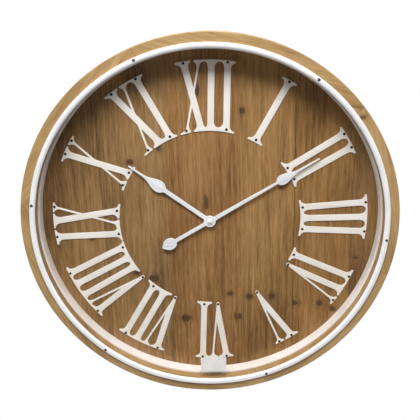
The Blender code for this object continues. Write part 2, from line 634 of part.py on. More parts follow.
def numeral_pieces(strokes, outer_feet, inner_feet):
    """Every outline that one numeral is joined from."""
    outlines = []
    stems = []
    outer_radius = NUMERAL_OUTER_RADIUS - OUTER_BAR / 2
    for (kind, top, foot), inner in zip(strokes, inner_feet):
        if kind != VEE:
            width = THICK_STROKE if kind == THICK else THIN_STROKE
            upper = on_radius(top * OUTER_SCALE, outer_radius)
            lower = on_radius(foot * INNER_SCALE, NUMERAL_INNER_RADIUS + INNER_BAR / 2)
            stems.append(((*upper, width), (*lower, width), inner))
            continue
        tip = on_radius(foot * INNER_SCALE, NUMERAL_INNER_RADIUS + VEE_TIP_HEIGHT)
        thick_top, thin_top = [on_radius(offset * OUTER_SCALE, outer_radius) for offset in top]
        outside = [
            (thick_top[0] - THICK_STROKE / 2, thick_top[1]),
            (thin_top[0] + THIN_STROKE / 2, thin_top[1]),
        ]
        ends = [(tip[0] + side * VEE_TIP_WIDTH / 2, tip[1]) for side in (-1, 1)]
        spread = outside[1][0] - outside[0][0] - VEE_TIP_WIDTH
        share = (THICK_STROKE + THIN_STROKE - VEE_TIP_WIDTH) / spread
        crotch = [(a[0] + (b[0] - a[0]) * share, a[1] + (b[1] - a[1]) * share) for a, b in zip(ends, outside)]
        thick_low = (crotch[0][0] + THICK_STROKE / 2, crotch[0][1] - LAP, THICK_STROKE)
        thin_low = (crotch[1][0] - THIN_STROKE / 2, crotch[1][1] - LAP, THIN_STROKE)
        stems.append(((*thick_top, THICK_STROKE), thick_low, None))
        stems.append(((*thin_top, THIN_STROKE), thin_low, None))
        outlines.append([crotch[0], crotch[1], ends[1], ends[0]])
        outlines.append(circle(VEE_KNOB_RADIUS, 12, (tip[0], tip[1] - VEE_KNOB_DROP)))
    for (upper, lower, inner), outer in zip(stems, outer_feet):
        outlines.append([stroke_side(upper, lower, side, end[1]) for side, end in
                         ((-1, upper), (1, upper), (1, lower), (-1, lower))])
        for span, is_outer, feet in ((outer, True, outer_feet), (inner, False, inner_feet)):
            if span is None:
                continue
            scale = OUTER_SCALE if is_outer else INNER_SCALE
            starts = {other[0] for other in feet if other}
            ends = {other[1] for other in feet if other}
            joined = (span[0] in ends, span[1] in starts)
            low = span[0] * scale - (LAP if joined[0] else 0)
            high = span[1] * scale + (LAP if joined[1] else 0)
            outlines.append(foot_outline((low, high), upper, lower, is_outer, joined))
    return outlines


def make_numerals():
    for name, hour, strokes, outer_feet, inner_feet in NUMERALS:
        outlines = numeral_pieces(strokes, outer_feet, inner_feet)
        front = NUMERAL_BACK + NUMERAL_THICKNESS
        plate = place(flat_plate(name, outlines[:1], NUMERAL_BACK, front), white_metal, turn=30 * hour)
        extras = bpy.data.collections.new(name + "_strokes")
        cutters.children.link(extras)
        for number, outline in enumerate(outlines[1:], 1):
            drawn = flat_plate(f"{name}_stroke_{number}", [outline], NUMERAL_BACK, front)
            stroke = as_tool(drawn, turn=30 * hour)
            cutters.objects.unlink(stroke)
            extras.objects.link(stroke)
        union = plate.modifiers.new("strokes", "BOOLEAN")
        union.operation = "UNION"
        union.operand_type = "COLLECTION"
        union.collection = extras


# ---- Hands ------------------------------------------------------------------------------------------
def mirrored(side, hub_radius):
    """A closed outline from the right side of a hand, given up from the hub as (half width, height)."""
    left = [(-x, y) for x, y in reversed(side) if x > 0]
    foot_x, foot_y = side[0]
    start = math.degrees(math.atan2(foot_y, foot_x))
    span = 180 + 2 * start
    hub = [polar(hub_radius, 180 - start + span * i / 20) for i in range(1, 20)]
    return side + left + hub


def swell(start, neck, widest, widest_at):
    """A side that swells in a quarter round from its neck at start to its widest."""
    points = []
    for i in range(1, 5):
        turn = math.pi / 2 * i / 4
        width = neck + (widest - neck) * math.sin(turn)
        points.append((width, start + (widest_at - start) * (1 - math.cos(turn))))
    return points


def spade(start, neck, widest, widest_at, taper_end, tip):
    """The right side of a spade above its neck: a round base, a hollow taper, then a long thin tip."""
    points = swell(start, neck, widest, widest_at)
    for i in range(1, 7):
        fall = (1 + math.cos(math.pi * i / 6)) / 2
        height = widest_at + (taper_end - widest_at) * i / 6
        points.append((TAPER_WIDTH + (widest - TAPER_WIDTH) * fall, height))
    points.append((TIP_WIDTH, tip))
    return points


def hub_foot(half_width, radius):
    return (half_width, math.sqrt(radius**2 - half_width**2))


def make_hands():
    side = [hub_foot(HOUR_SHANK, HOUR_HUB_RADIUS), (HOUR_SHANK, HOUR_NECK_AT - 2 * MM)]
    side += spade(HOUR_NECK_AT, HOUR_SHANK, HOUR_SPADE, HOUR_SPADE_AT, HOUR_TAPER_END, HOUR_TIP)
    front = HOUR_HAND_BACK + HAND_THICKNESS
    outlines = [mirrored(side, HOUR_HUB_RADIUS), circle(HOUR_TUBE_RADIUS + GAP, 24)]
    place(flat_plate("hour_hand", outlines, HOUR_HAND_BACK, front), white_metal, turn=HOUR_HAND_ANGLE)

    side = [hub_foot(MINUTE_SHANK, HUB_RADIUS), (MINUTE_NECK, MINUTE_NECK_AT)]
    side += spade(MINUTE_NECK_AT, MINUTE_NECK, MINUTE_SPADE, MINUTE_SPADE_AT, MINUTE_TAPER_END, MINUTE_TIP)
    left = [(-x, y) for x, y in reversed(side)]
    tail = [(TAIL_SHANK, -math.sqrt(HUB_RADIUS**2 - TAIL_SHANK**2)), (TAIL_SHANK, -TAIL_START)]
    tail += [(x, -y) for x, y in swell(TAIL_START, TAIL_SHANK, TAIL_DROP, TAIL_DROP_AT)]
    for i in range(1, 5):
        tail.append((TAIL_DROP * (1 - (i / 4) ** 2), -TAIL_DROP_AT - (TAIL_END - TAIL_DROP_AT) * i / 4))
    tail_left = [(-x, y) for x, y in reversed(tail[:-1])]
    start = math.degrees(math.acos(TAIL_SHANK / HUB_RADIUS))
    end = math.degrees(math.acos(MINUTE_SHANK / HUB_RADIUS))
    hub_left = [polar(HUB_RADIUS, 180 + start - (start + end) * i / 10) for i in range(1, 10)]
    hub_right = [polar(HUB_RADIUS, end - (start + end) * i / 10) for i in range(1, 10)]
    outline = side + left + hub_left[::-1] + tail_left[::-1] + tail[::-1] + hub_right[::-1]
    front = MINUTE_HAND_BACK + HAND_THICKNESS
    outlines = [outline, circle(MINUTE_ARBOR_RADIUS + GAP, 20)]
    place(flat_plate("minute_hand", outlines, MINUTE_HAND_BACK, front), white_metal, turn=MINUTE_HAND_ANGLE)

    bore = MINUTE_ARBOR_RADIUS + GAP
    profile = [(0, CAP_BACK + CAP_HEIGHT)]
    for i in range(1, 5):
        turn = math.pi / 2 * i / 5
        profile.append((CAP_RADIUS * math.sin(turn), CAP_BACK + CAP_HEIGHT * math.cos(turn)))
    profile += [(CAP_RADIUS, CAP_BACK), (bore, CAP_BACK), (bore, ARBOR_FRONT + GAP), (0, ARBOR_FRONT + GAP)]
    place(turned("hand_cap", profile, 24, False), white_metal)


# ---- Movement ---------------------------------------------------------------------------------------
def make_movement_case():
    half = MOVEMENT_SIDE / 2
    wall = MOVEMENT_WALL
    gears_low = BAY_TOP + wall
    shell = block("movement_case", (-half, -half, MOVEMENT_BACK + wall + GAP), (half, half, MOVEMENT_FRONT))
    inside_back = MOVEMENT_BACK - 1 * MM
    inner = half - wall
    room = block("gear_room", (-inner, gears_low, inside_back), (inner, inner, MOVEMENT_FRONT - wall))
    bay = block("battery_bay", (-inner, -inner, inside_back), (inner, BAY_TOP, MOVEMENT_FRONT - wall))
    hole = rod("case_hole", BUSHING_HOLE, MOVEMENT_FRONT - 2 * wall, MOVEMENT_FRONT + 1 * MM, 20)
    cut(place(shell, dark_plastic), as_tool(room), as_tool(bay), as_tool(hole))

    cover = block("movement_cover", (-half, BAY_TOP + GAP, MOVEMENT_BACK), (half, half, MOVEMENT_BACK + wall))
    bore = KNOB_STEM_RADIUS + RUN_GAP
    stem_hole = rod("stem_hole", bore, MOVEMENT_BACK - wall, MOVEMENT_BACK + 2 * wall, 16)
    cut(place(cover, dark_plastic), as_tool(stem_hole, KNOB_AXIS))

    gasket_back = MOVEMENT_FRONT + GAP / 2
    corner = half * GASKET_SHARE
    outlines = [[(-corner, -corner), (corner, -corner), (corner, corner), (-corner, corner)]]
    outlines.append(circle(BUSHING_HOLE, 20))
    place(flat_plate("rubber_gasket", outlines, gasket_back, gasket_back + GASKET_THICKNESS), rubber)

    flange_front = MOVEMENT_FRONT - wall - GAP
    profile = [
        (BUSHING_RADIUS, BUSHING_END),
        (BUSHING_RADIUS, flange_front),
        (BUSHING_RADIUS + FLANGE_WIDTH, flange_front),
        (BUSHING_RADIUS + FLANGE_WIDTH, flange_front - FLANGE_THICKNESS),
        (BUSHING_BORE, flange_front - FLANGE_THICKNESS),
        (BUSHING_BORE, BUSHING_END),
    ]
    place(turned("threaded_bushing", profile, 20, True), brass)
    washer_radius = BUSHING_HOLE + WASHER_WIDTH
    place(ring("brass_washer", BUSHING_HOLE, washer_radius, DIAL_FRONT + GAP, WASHER_FRONT, 24), brass)
    nut_corner = (BUSHING_HOLE + NUT_WALL) / math.cos(math.pi / 6)
    outlines = [circle(nut_corner, 6), circle(BUSHING_HOLE, 20)]
    place(flat_plate("hex_nut", outlines, NUT_BACK, NUT_FRONT), brass)


def make_battery():
    """The AA cell and the two springs that it sits between. The cell lies along x."""
    level = MOVEMENT_BACK + BATTERY_RADIUS + GAP
    height = -MOVEMENT_SIDE / 2 + MOVEMENT_WALL + (BAY_HEIGHT - MOVEMENT_WALL) / 2
    half = BATTERY_LENGTH / 2
    nub_end = half + BATTERY_NUB_LENGTH
    profile = [
        (0, nub_end), (BATTERY_NUB_RADIUS, nub_end), (BATTERY_NUB_RADIUS, half),
        (BATTERY_RADIUS, half), (BATTERY_RADIUS, -half), (0, -half),
    ]
    cell = place(turned("battery", profile, 24, False), cell_wrap)
    cell.rotation_euler = (0, math.pi / 2, 0)
    cell.location = (0, height, level)

    inner = MOVEMENT_SIDE / 2 - MOVEMENT_WALL
    for name, side in (("contact_positive", 1), ("contact_negative", -1)):
        near = side * (inner - GAP)
        far = side * (inner - GAP - CONTACT_THICKNESS)
        low = (min(near, far), height - CONTACT_HALF, level - CONTACT_HALF)
        high = (max(near, far), height + CONTACT_HALF, MOVEMENT_FRONT - MOVEMENT_WALL - GAP)
        place(block(name, low, high), steel)


def wheel(name, teeth, module, back, front, phase, finish, axis, bore=None):
    """A toothed wheel on axis. phase turns it, in degrees counter-clockwise."""
    outlines = [gear_outline(teeth, module)]
    if bore:
        outlines.append(circle(bore, 16))
    return place(flat_plate(name, outlines, back, front), finish, axis, -phase)


def helper_wheel(name, teeth, module, back, front, phase, axis):
    return as_tool(flat_plate(name, [gear_outline(teeth, module)], back, front), axis, -phase)


def mesh_phase(teeth, direction, other_teeth, other_phase):
    """The phase that puts a gap of this wheel on the tooth of the wheel at direction from it."""
    from_tooth = (direction + 180 - other_phase) / (360 / other_teeth)
    offset = (from_tooth - round(from_tooth)) * (360 / teeth)
    return direction + 180 / teeth + offset


def make_going_train():
    """Rotor to first wheel to second wheel to centre wheel, each pinion driving the next wheel."""
    second_pinion_phase = mesh_phase(LEAF_COUNT, SECOND_DIRECTION + 180, CENTRE_TEETH, 0)
    first_pinion_phase = mesh_phase(LEAF_COUNT, FIRST_DIRECTION + 180, SECOND_TEETH, second_pinion_phase)
    rotor_phase = mesh_phase(LEAF_COUNT, ROTOR_DIRECTION + 180, FIRST_TEETH, first_pinion_phase)

    front = CENTRE_WHEEL_BACK + WHEEL_THICKNESS
    bore = MINUTE_ARBOR_RADIUS + GAP
    wheel("centre_wheel", CENTRE_TEETH, TRAIN_MODULE, CENTRE_WHEEL_BACK, front, 0, nylon, CENTRE, bore)

    for name, teeth, back, phase, axis in (
        ("second_wheel", SECOND_TEETH, SECOND_WHEEL_BACK, second_pinion_phase, SECOND_AXIS),
        ("first_wheel", FIRST_TEETH, FIRST_WHEEL_BACK, first_pinion_phase, FIRST_AXIS),
    ):
        front = back + WHEEL_THICKNESS
        toothed = wheel(name, teeth, TRAIN_MODULE, back, front, phase, nylon, axis)
        pinion_end = front + WHEEL_STEP + PINION_OVERHANG
        start = front - LAP
        pinion = helper_wheel(name + "_pinion", LEAF_COUNT, TRAIN_MODULE, start, pinion_end, phase, axis)
        arbor = as_tool(rod(name + "_arbor", ARBOR_RADIUS, PIVOT_BACK, PIVOT_FRONT, 12), axis)
        join(toothed, pinion, arbor)

    magnet_back = STATOR_BACK - (ROTOR_MAGNET_HEIGHT - STATOR_THICKNESS) / 2
    magnet = rod("rotor", ROTOR_MAGNET_RADIUS, magnet_back, magnet_back + ROTOR_MAGNET_HEIGHT, 20)
    place(magnet, dark_steel, ROTOR_AXIS)
    back = FIRST_WHEEL_BACK - PINION_OVERHANG
    front = magnet_back + LAP
    pinion = helper_wheel("rotor_pinion", LEAF_COUNT, TRAIN_MODULE, back, front, rotor_phase, ROTOR_AXIS)
    arbor = as_tool(rod("rotor_arbor", ARBOR_RADIUS, PIVOT_BACK, PIVOT_FRONT, 12), ROTOR_AXIS)
    join(magnet, pinion, arbor)


def make_motion_work():
    """Cannon pinion to minute wheel, its pinion to the hour wheel, and the setting stem."""
    front = CANNON_BACK + CANNON_HEIGHT
    arbor = place(rod("minute_arbor", MINUTE_ARBOR_RADIUS, PIVOT_BACK, ARBOR_FRONT, 20), steel)
    cannon = helper_wheel("cannon_pinion", CANNON_TEETH, MOTION_MODULE, CANNON_BACK, front, 0, CENTRE)
    join(arbor, cannon)

    phase = mesh_phase(MINUTE_WHEEL_TEETH, MINUTE_WHEEL_DIRECTION + 180, CANNON_TEETH, 0)
    stem_phase = mesh_phase(CANNON_TEETH, MINUTE_WHEEL_DIRECTION + 180, MINUTE_WHEEL_TEETH, phase)
    knob = rod("setting_knob", KNOB_RADIUS, KNOB_BACK, KNOB_BACK + KNOB_THICKNESS, 24)
    place(knob, dark_plastic, KNOB_AXIS)
    stem_back = KNOB_BACK + KNOB_THICKNESS / 2
    stem = as_tool(rod("setting_stem", KNOB_STEM_RADIUS, stem_back, CANNON_BACK + LAP, 16), KNOB_AXIS)
    back = CANNON_BACK
    pinion = helper_wheel("stem_pinion", CANNON_TEETH, MOTION_MODULE, back, front, stem_phase, KNOB_AXIS)
    join(knob, stem, pinion)

    back = CANNON_BACK + MINUTE_WHEEL_RISE
    front = back + WHEEL_THICKNESS
    axis = MINUTE_WHEEL_AXIS
    toothed = wheel("minute_wheel", MINUTE_WHEEL_TEETH, MOTION_MODULE, back, front, phase, nylon, axis)
    post = as_tool(rod("minute_wheel_arbor", ARBOR_RADIUS, back - WHEEL_THICKNESS, PIVOT_FRONT, 12), axis)
    back = front - LAP
    front = HOUR_WHEEL_BACK + WHEEL_THICKNESS + PINION_OVERHANG
    pinion = helper_wheel("minute_wheel_pinion", MINUTE_PINION_TEETH, HOUR_MODULE, back, front, 0, axis)
    join(toothed, pinion, post)

    phase = mesh_phase(HOUR_TEETH, MINUTE_WHEEL_DIRECTION, MINUTE_PINION_TEETH, 0)
    back = HOUR_WHEEL_BACK
    front = HOUR_WHEEL_BACK + WHEEL_THICKNESS
    hour = wheel("hour_wheel", HOUR_TEETH, HOUR_MODULE, back, front, phase, nylon, CENTRE, TUBE_BORE)
    tube = as_tool(ring("hour_tube", TUBE_BORE, HOUR_TUBE_RADIUS, back, TUBE_FRONT, 16))
    join(hour, tube)


def make_motor():
    """Stator, coil on its core, and the circuit board that drives it."""
    left = ROTOR_AXIS[0] - STATOR_SIDE
    inner_left = ROTOR_AXIS[0] + STATOR_SIDE
    right = STATOR_RIGHT
    inner_right = right - STATOR_LEG
    low = STATOR_FOOT
    high = low + STATOR_HEIGHT
    bar = low + STATOR_BAR
    outline = [
        (left, low), (right, low), (right, high), (inner_right, high),
        (inner_right, bar), (inner_left, bar), (inner_left, high), (left, high),
    ]
    front = STATOR_BACK + STATOR_THICKNESS
    rotor_hole = circle(ROTOR_MAGNET_RADIUS + RUN_GAP, 20, ROTOR_AXIS)
    place(flat_plate("stator", [outline, rotor_hole], STATOR_BACK, front), steel)

    middle = (inner_left + inner_right) / 2
    coil_height = high - COIL_RADIUS
    coil_level = front + GAP + CORE_THICKNESS / 2
    end = COIL_LENGTH / 2
    flange = end - COIL_FLANGE
    wound = COIL_RADIUS - COIL_FLANGE_RISE
    profile = [
        (COIL_RADIUS, end), (COIL_RADIUS, flange), (wound, flange), (wound, -flange),
        (COIL_RADIUS, -flange), (COIL_RADIUS, -end), (COIL_BORE, -end), (COIL_BORE, end),
    ]
    coil = place(turned("coil", profile, 20, True), copper)
    coil.rotation_euler = (0, math.pi / 2, 0)
    coil.location = (middle, coil_height, coil_level)
    core_low = (inner_left - CORE_LAP, coil_height - CORE_WIDTH / 2, coil_level - CORE_THICKNESS / 2)
    core_high = (inner_right + CORE_LAP, coil_height + CORE_WIDTH / 2, coil_level + CORE_THICKNESS / 2)
    place(block("coil_core", core_low, core_high), steel)

    board_back = MOVEMENT_FRONT - MOVEMENT_WALL - GAP - BOARD_THICKNESS
    inside = MOVEMENT_SIDE / 2 - MOVEMENT_WALL - BOARD_MARGIN
    board_low = (inner_left, STATOR_FOOT, board_back)
    board_high = (inside, inside, board_back + BOARD_THICKNESS)
    place(block("circuit_board", board_low, board_high), board_green)


clear_scene()
clock = new_collection("schoolhouse_wall_clock")
cutters = new_collection("cutters", hidden=True)
dial_centre = bpy.data.objects.new("dial_centre", None)
clock.objects.link(dial_centre)
dial_centre.location = (0, 0, -HANG_HEIGHT)
dial_centre.rotation_euler = (math.pi / 2, 0, 0)

wood_rim = material("fir_rim", "#C8A064", 0.65)
wood_side = material("plywood_hoop", "#B08A58", 0.7)
wood_dial = material("stained_fir_planks", "#8C6E42", 0.6)
white_liner = material("painted_hardboard", "#E1D7CD", 0.55)
white_metal = material("white_painted_steel", "#E6E8E6", 0.4)
glass = material("clear_float_glass", "#F4F8F6", 0.02, alpha=0.15)
paper = material("white_card", "#F2EFEA", 0.8)
steel = material("zinc_plated_steel", "#A8AAAC", 0.35, 1.0)
dark_steel = material("sintered_magnet", "#3A3A3E", 0.45, 0.6)
brass = material("turned_brass", "#C8A24A", 0.3, 1.0)
copper = material("enamelled_copper_wire", "#B4622E", 0.4, 0.8)
rubber = material("black_rubber", "#1C1C1C", 0.8)
dark_plastic = material("black_abs", "#222224", 0.5)
nylon = material("white_acetal", "#E8E6DC", 0.45)
cell_wrap = material("printed_cell_wrap", "#4A4E52", 0.35)
board_green = material("solder_mask_board", "#2E5A3A", 0.4)

make_case()
make_dial()
make_front()
make_hanging()
make_numerals()
make_hands()
make_movement_case()
make_battery()
make_going_train()
make_motion_work()
make_motor()
for piece in clock.objects:
    if piece.type == "MESH":
        smooth(piece)
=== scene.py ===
"""Looks of the schoolhouse wall clock: wood, enamel, glass and movement around its fixed frame.

Shapes are drawn in the clock's own directions, x to the right, y up from the hands' axis and d out
from the wall. CLOCK turns them into the frame's directions, where the dial faces -Y.
"""

import json
import math
import random

import bmesh
import bpy
from mathutils import Matrix, Vector
from mathutils.geometry import tessellate_polygon


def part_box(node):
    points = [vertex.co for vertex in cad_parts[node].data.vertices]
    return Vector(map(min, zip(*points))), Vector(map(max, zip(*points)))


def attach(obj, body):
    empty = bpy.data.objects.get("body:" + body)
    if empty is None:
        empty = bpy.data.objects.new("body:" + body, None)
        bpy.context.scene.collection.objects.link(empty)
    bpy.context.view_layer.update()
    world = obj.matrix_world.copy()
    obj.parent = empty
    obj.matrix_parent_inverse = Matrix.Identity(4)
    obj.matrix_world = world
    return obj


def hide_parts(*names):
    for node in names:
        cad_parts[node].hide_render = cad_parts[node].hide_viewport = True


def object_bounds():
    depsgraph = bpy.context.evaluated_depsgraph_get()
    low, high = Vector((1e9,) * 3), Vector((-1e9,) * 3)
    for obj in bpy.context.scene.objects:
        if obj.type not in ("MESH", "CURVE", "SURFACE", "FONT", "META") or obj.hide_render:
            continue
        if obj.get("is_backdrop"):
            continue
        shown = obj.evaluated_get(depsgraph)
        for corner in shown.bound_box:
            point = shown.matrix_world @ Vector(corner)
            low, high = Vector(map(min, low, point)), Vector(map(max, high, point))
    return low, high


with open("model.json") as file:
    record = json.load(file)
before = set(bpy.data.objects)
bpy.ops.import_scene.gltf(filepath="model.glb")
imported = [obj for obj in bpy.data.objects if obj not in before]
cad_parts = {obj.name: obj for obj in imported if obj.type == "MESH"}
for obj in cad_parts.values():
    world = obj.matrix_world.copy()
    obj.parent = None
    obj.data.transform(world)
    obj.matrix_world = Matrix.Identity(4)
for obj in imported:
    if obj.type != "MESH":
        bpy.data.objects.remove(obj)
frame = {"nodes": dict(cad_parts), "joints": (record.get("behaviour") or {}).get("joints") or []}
cad_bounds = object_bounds()

MM = 0.001
JOINTS = {joint["name"]: joint for joint in frame["joints"]}
HANDS_AXIS_Z = JOINTS["minute_turn"]["pos_m"][2]
CLOCK = Matrix.Translation((0, 0, HANDS_AXIS_Z)) @ Matrix.Rotation(math.pi / 2, 4, "X")


# ---- Places on the clock ----------------------------------------------------------------------------
def span(node):
    """A node's lowest and highest corner as (x, y, d)."""
    low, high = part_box(node)
    return (
        Vector((low.x, low.z - HANDS_AXIS_Z, -high.y)),
        Vector((high.x, high.z - HANDS_AXIS_Z, -low.y)),
    )


def depths(node):
    """How far a node's back and front are from the wall."""
    low, high = span(node)
    return low.z, high.z


def radius_of(node):
    """Half a round node's width."""
    low, high = span(node)
    return (high.x - low.x) / 2


def middle_of(node):
    """The middle of a node's box, as (x, y, d)."""
    low, high = span(node)
    return (low + high) / 2


def on_dial(angle, up, aside=0.0):
    """The point this far out along a clockwise angle, and this far to the side of it."""
    turn = math.radians(angle)
    return (
        up * math.sin(turn) + aside * math.cos(turn),
        up * math.cos(turn) - aside * math.sin(turn),
    )


def on_circle(radius, angle, middle=(0, 0)):
    """The point at a clockwise angle on a circle about this middle."""
    x, y = on_dial(angle, radius)
    return (middle[0] + x, middle[1] + y)


# ---- Making shapes ----------------------------------------------------------------------------------
def filleted(corners, steps=4):
    """An outline from (x, y, fillet) corners, each fillet a short curve."""
    points = []
    for index, (x, y, fillet) in enumerate(corners):
        here = Vector((x, y))
        if fillet == 0:
            points.append((x, y))
            continue
        before = (Vector(corners[index - 1][:2]) - here).normalized() * fillet
        after = (Vector(corners[(index + 1) % len(corners)][:2]) - here).normalized() * fillet
        for step in range(steps + 1):
            t = step / steps
            point = here + before * (1 - t) ** 2 + after * t**2
            points.append((point.x, point.y))
    return points


def revolved(profile, steps, start=0.0, end=360.0):
    """A solid turned from a closed outline of (radius, d), between two clockwise angles."""
    shape = bmesh.new()
    whole = end - start == 360
    columns = []
    for index in range(steps if whole else steps + 1):
        angle = start + (end - start) * index / steps
        columns.append([shape.verts.new((*on_dial(angle, radius), d)) for radius, d in profile])
    for index in range(steps):
        here = columns[index]
        there = columns[(index + 1) % len(columns)]
        for corner in range(len(profile)):
            below = corner - 1
            shape.faces.new((here[below], here[corner], there[corner], there[below]))
    if not whole:
        shape.faces.new(columns[0])
        shape.faces.new(reversed(columns[-1]))
    bmesh.ops.remove_doubles(shape, verts=shape.verts, dist=1e-7)
    bmesh.ops.recalc_face_normals(shape, faces=shape.faces)
    return shape


def leftwards(outline, amount):
    """An outline moved to its left by this much: inwards for one that runs anticlockwise."""
    points = []
    for index, here in enumerate(outline):
        a = (Vector(here) - Vector(outline[index - 1])).normalized()
        b = (Vector(outline[(index + 1) % len(outline)]) - Vector(here)).normalized()
        share = amount / max(1 + a.dot(b), 0.5)
        points.append((here[0] - (a.y + b.y) * share, here[1] + (a.x + b.x) * share))
    return points


def wound(outline, anticlockwise):
    """An outline without doubled points, running this way round."""
    kept = [p for i, p in enumerate(outline) if math.dist(p, outline[i - 1]) > 0.02 * MM]
    area = sum(a[0] * b[1] - b[0] * a[1] for a, b in zip(kept, kept[1:] + kept[:1]))
    return kept if (area > 0) == anticlockwise else kept[::-1]


def plate(outlines, back, front, edge, rounds=2):
    """A flat piece with these outlines, the first outside and the rest holes, its edges rounded."""
    outlines = [wound(outline, number == 0) for number, outline in enumerate(outlines)]
    levels = []
    for step in range(rounds + 1):
        turn = math.pi / 2 * step / rounds
        levels.append((edge * (1 - math.sin(turn)), edge * (1 - math.cos(turn))))
    tiers = [(inwards, back + rise) for inwards, rise in levels]
    tiers += [(inwards, front - rise) for inwards, rise in reversed(levels)]
    shape = bmesh.new()
    rings = [
        [[shape.verts.new((x, y, d)) for x, y in leftwards(outline, inwards)] for outline in outlines]
        for inwards, d in tiers
    ]
    for low, high in zip(rings, rings[1:]):
        for under, over in zip(low, high):
            for index in range(len(under)):
                before = index - 1
                shape.faces.new((under[before], under[index], over[index], over[before]))
    flat = [[vert.co.xy.to_3d() for vert in ring] for ring in rings[0]]
    triangles = tessellate_polygon(flat)
    for tier in (rings[0], rings[-1]):
        verts = [vert for ring in tier for vert in ring]
        for corners in triangles:
            if len(set(corners)) == 3:
                shape.faces.new([verts[corner] for corner in corners])
    bmesh.ops.recalc_face_normals(shape, faces=shape.faces)
    return shape


def block(low, high):
    """A box between two corners."""
    shape = bmesh.new()
    size = Vector(high) - Vector(low)
    middle = (Vector(high) + Vector(low)) / 2
    place = Matrix.Translation(middle) @ Matrix.Diagonal((*size, 1))
    bmesh.ops.create_cube(shape, size=1, matrix=place)
    return shape


def rounded_block(low, high, edge, segments=3):
    """A box between two corners with rounded edges."""
    shape = block(low, high)
    bmesh.ops.bevel(
        shape, geom=shape.edges[:], offset=edge, segments=segments, profile=0.5, affect="EDGES"
    )
    return shape


def tube(points, radius, sides=10, closed=False):
    """A round wire along (x, y, d) points."""
    curve = bpy.data.curves.new("tube", "CURVE")
    curve.dimensions = "3D"
    curve.bevel_depth = radius
    curve.bevel_resolution = max(0, sides // 2 - 2)
    curve.use_fill_caps = True
    spline = curve.splines.new("POLY")
    spline.points.add(len(points) - 1)
    for point, place in zip(spline.points, points):
        point.co = (*place, 1)
    spline.use_cyclic_u = closed
    drawn = bpy.data.objects.new("tube", curve)
    bpy.context.scene.collection.objects.link(drawn)
    graph = bpy.context.evaluated_depsgraph_get()
    mesh = bpy.data.meshes.new_from_object(drawn.evaluated_get(graph))
    bpy.data.objects.remove(drawn)
    bpy.data.curves.remove(curve)
    shape = bmesh.new()
    shape.from_mesh(mesh)
    bpy.data.meshes.remove(mesh)
    bmesh.ops.remove_doubles(shape, verts=shape.verts, dist=1e-6)
    bmesh.ops.recalc_face_normals(shape, faces=shape.faces)
    return shape


def added(shape, *others):
    """Puts other shapes into the first."""
    for other in others:
        mesh = bpy.data.meshes.new("part")
        other.to_mesh(mesh)
        other.free()
        shape.from_mesh(mesh)
        bpy.data.meshes.remove(mesh)
    return shape


def front_outlines(node):
    """The outlines of a flat node's front face, the longest first, as lists of (x, y)."""
    mesh = frame["nodes"][node].data
    front = min(vertex.co.y for vertex in mesh.vertices)
    spots = [(round(v.co.x, 6), round(v.co.z - HANDS_AXIS_Z, 6)) for v in mesh.vertices]
    on_front = [vertex.co.y < front + 1e-5 for vertex in mesh.vertices]
    following = {}
    for face in mesh.polygons:
        corners = list(face.vertices)
        if all(on_front[corner] for corner in corners):
            continue
        for a, b in zip(corners, corners[1:] + corners[:1]):
            if on_front[a] and on_front[b] and spots[a] != spots[b]:
                following.setdefault(spots[b], []).append(spots[a])
    outlines = []
    while following:
        first = min(following)
        outline = []
        spot = first
        while spot in following:
            outline.append(spot)
            after = following[spot].pop()
            if not following[spot]:
                del following[spot]
            spot = after
        outlines.append(outline)
    return sorted(outlines, key=len, reverse=True)


def bend_at(before, here, after):
    """The turn at a corner, in degrees, and the length of its shorter side."""
    a = Vector(here) - Vector(before)
    b = Vector(after) - Vector(here)
    return math.degrees(abs(a.angle_signed(b, 0))), min(a.length, b.length)


def softened(outline, longest=1.0, passes=2, least=2, most=50):
    """Cuts the corners of an outline's curved stretches finer, and leaves its sharp corners."""
    for _ in range(passes):
        points = []
        count = len(outline)
        for index, here in enumerate(outline):
            before = outline[index - 1]
            after = outline[(index + 1) % count]
            bend, side = bend_at(before, here, after)
            if bend < 0.2:
                continue
            if not least < bend < most:
                points.append(here)
                continue
            spot = Vector(here)
            for other in (before, after):
                point = spot + (Vector(other) - spot).normalized() * min(side, longest) / 4
                points.append((point.x, point.y))
        outline = points
    return outline


def with_grain(shape, rule):
    """Stores where each corner lies in its board: along the grain, across it and through it."""
    layer = shape.loops.layers.float_vector.new("grain")
    for face in shape.faces:
        middle = face.calc_center_median()
        for loop in face.loops:
            loop[layer] = rule(loop.vert.co, middle)
    return shape


def piece(name, shape, finishes, body="case", stands_for=(), crease=35):
    """Finishes a shape: its place goes into its mesh, and it rides with its body."""
    drawn = bpy.data.meshes.new(name)
    shape.to_mesh(drawn)
    shape.free()
    drawn.transform(CLOCK)
    drawn.shade_smooth()
    drawn.set_sharp_from_angle(angle=math.radians(crease))
    for finish in finishes if isinstance(finishes, (list, tuple)) else [finishes]:
        drawn.materials.append(finish)
    item = bpy.data.objects.new(name, drawn)
    bpy.context.scene.collection.objects.link(item)
    # Wide faces keep their own direction, so that only the rounded edges between them shade softly.
    step = item.modifiers.new("even", "WEIGHTED_NORMAL")
    step.mode = "FACE_AREA_WITH_ANGLE"
    step.keep_sharp = True
    graph = bpy.context.evaluated_depsgraph_get()
    mesh = bpy.data.meshes.new_from_object(item.evaluated_get(graph))
    item.modifiers.remove(step)
    item.data = mesh
    bpy.data.meshes.remove(drawn)
    mesh.name = name
    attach(item, body)
    if stands_for:
        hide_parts(*stands_for)
    return item


# ---- Making materials -------------------------------------------------------------------------------
def linear(colour):
    """An sRGB hex value as linear red, green, blue and alpha."""
    channels = [int(colour[i : i + 2], 16) / 255 for i in (1, 3, 5)]
    return [c / 12.92 if c <= 0.04045 else ((c + 0.055) / 1.055) ** 2.4 for c in channels] + [1]


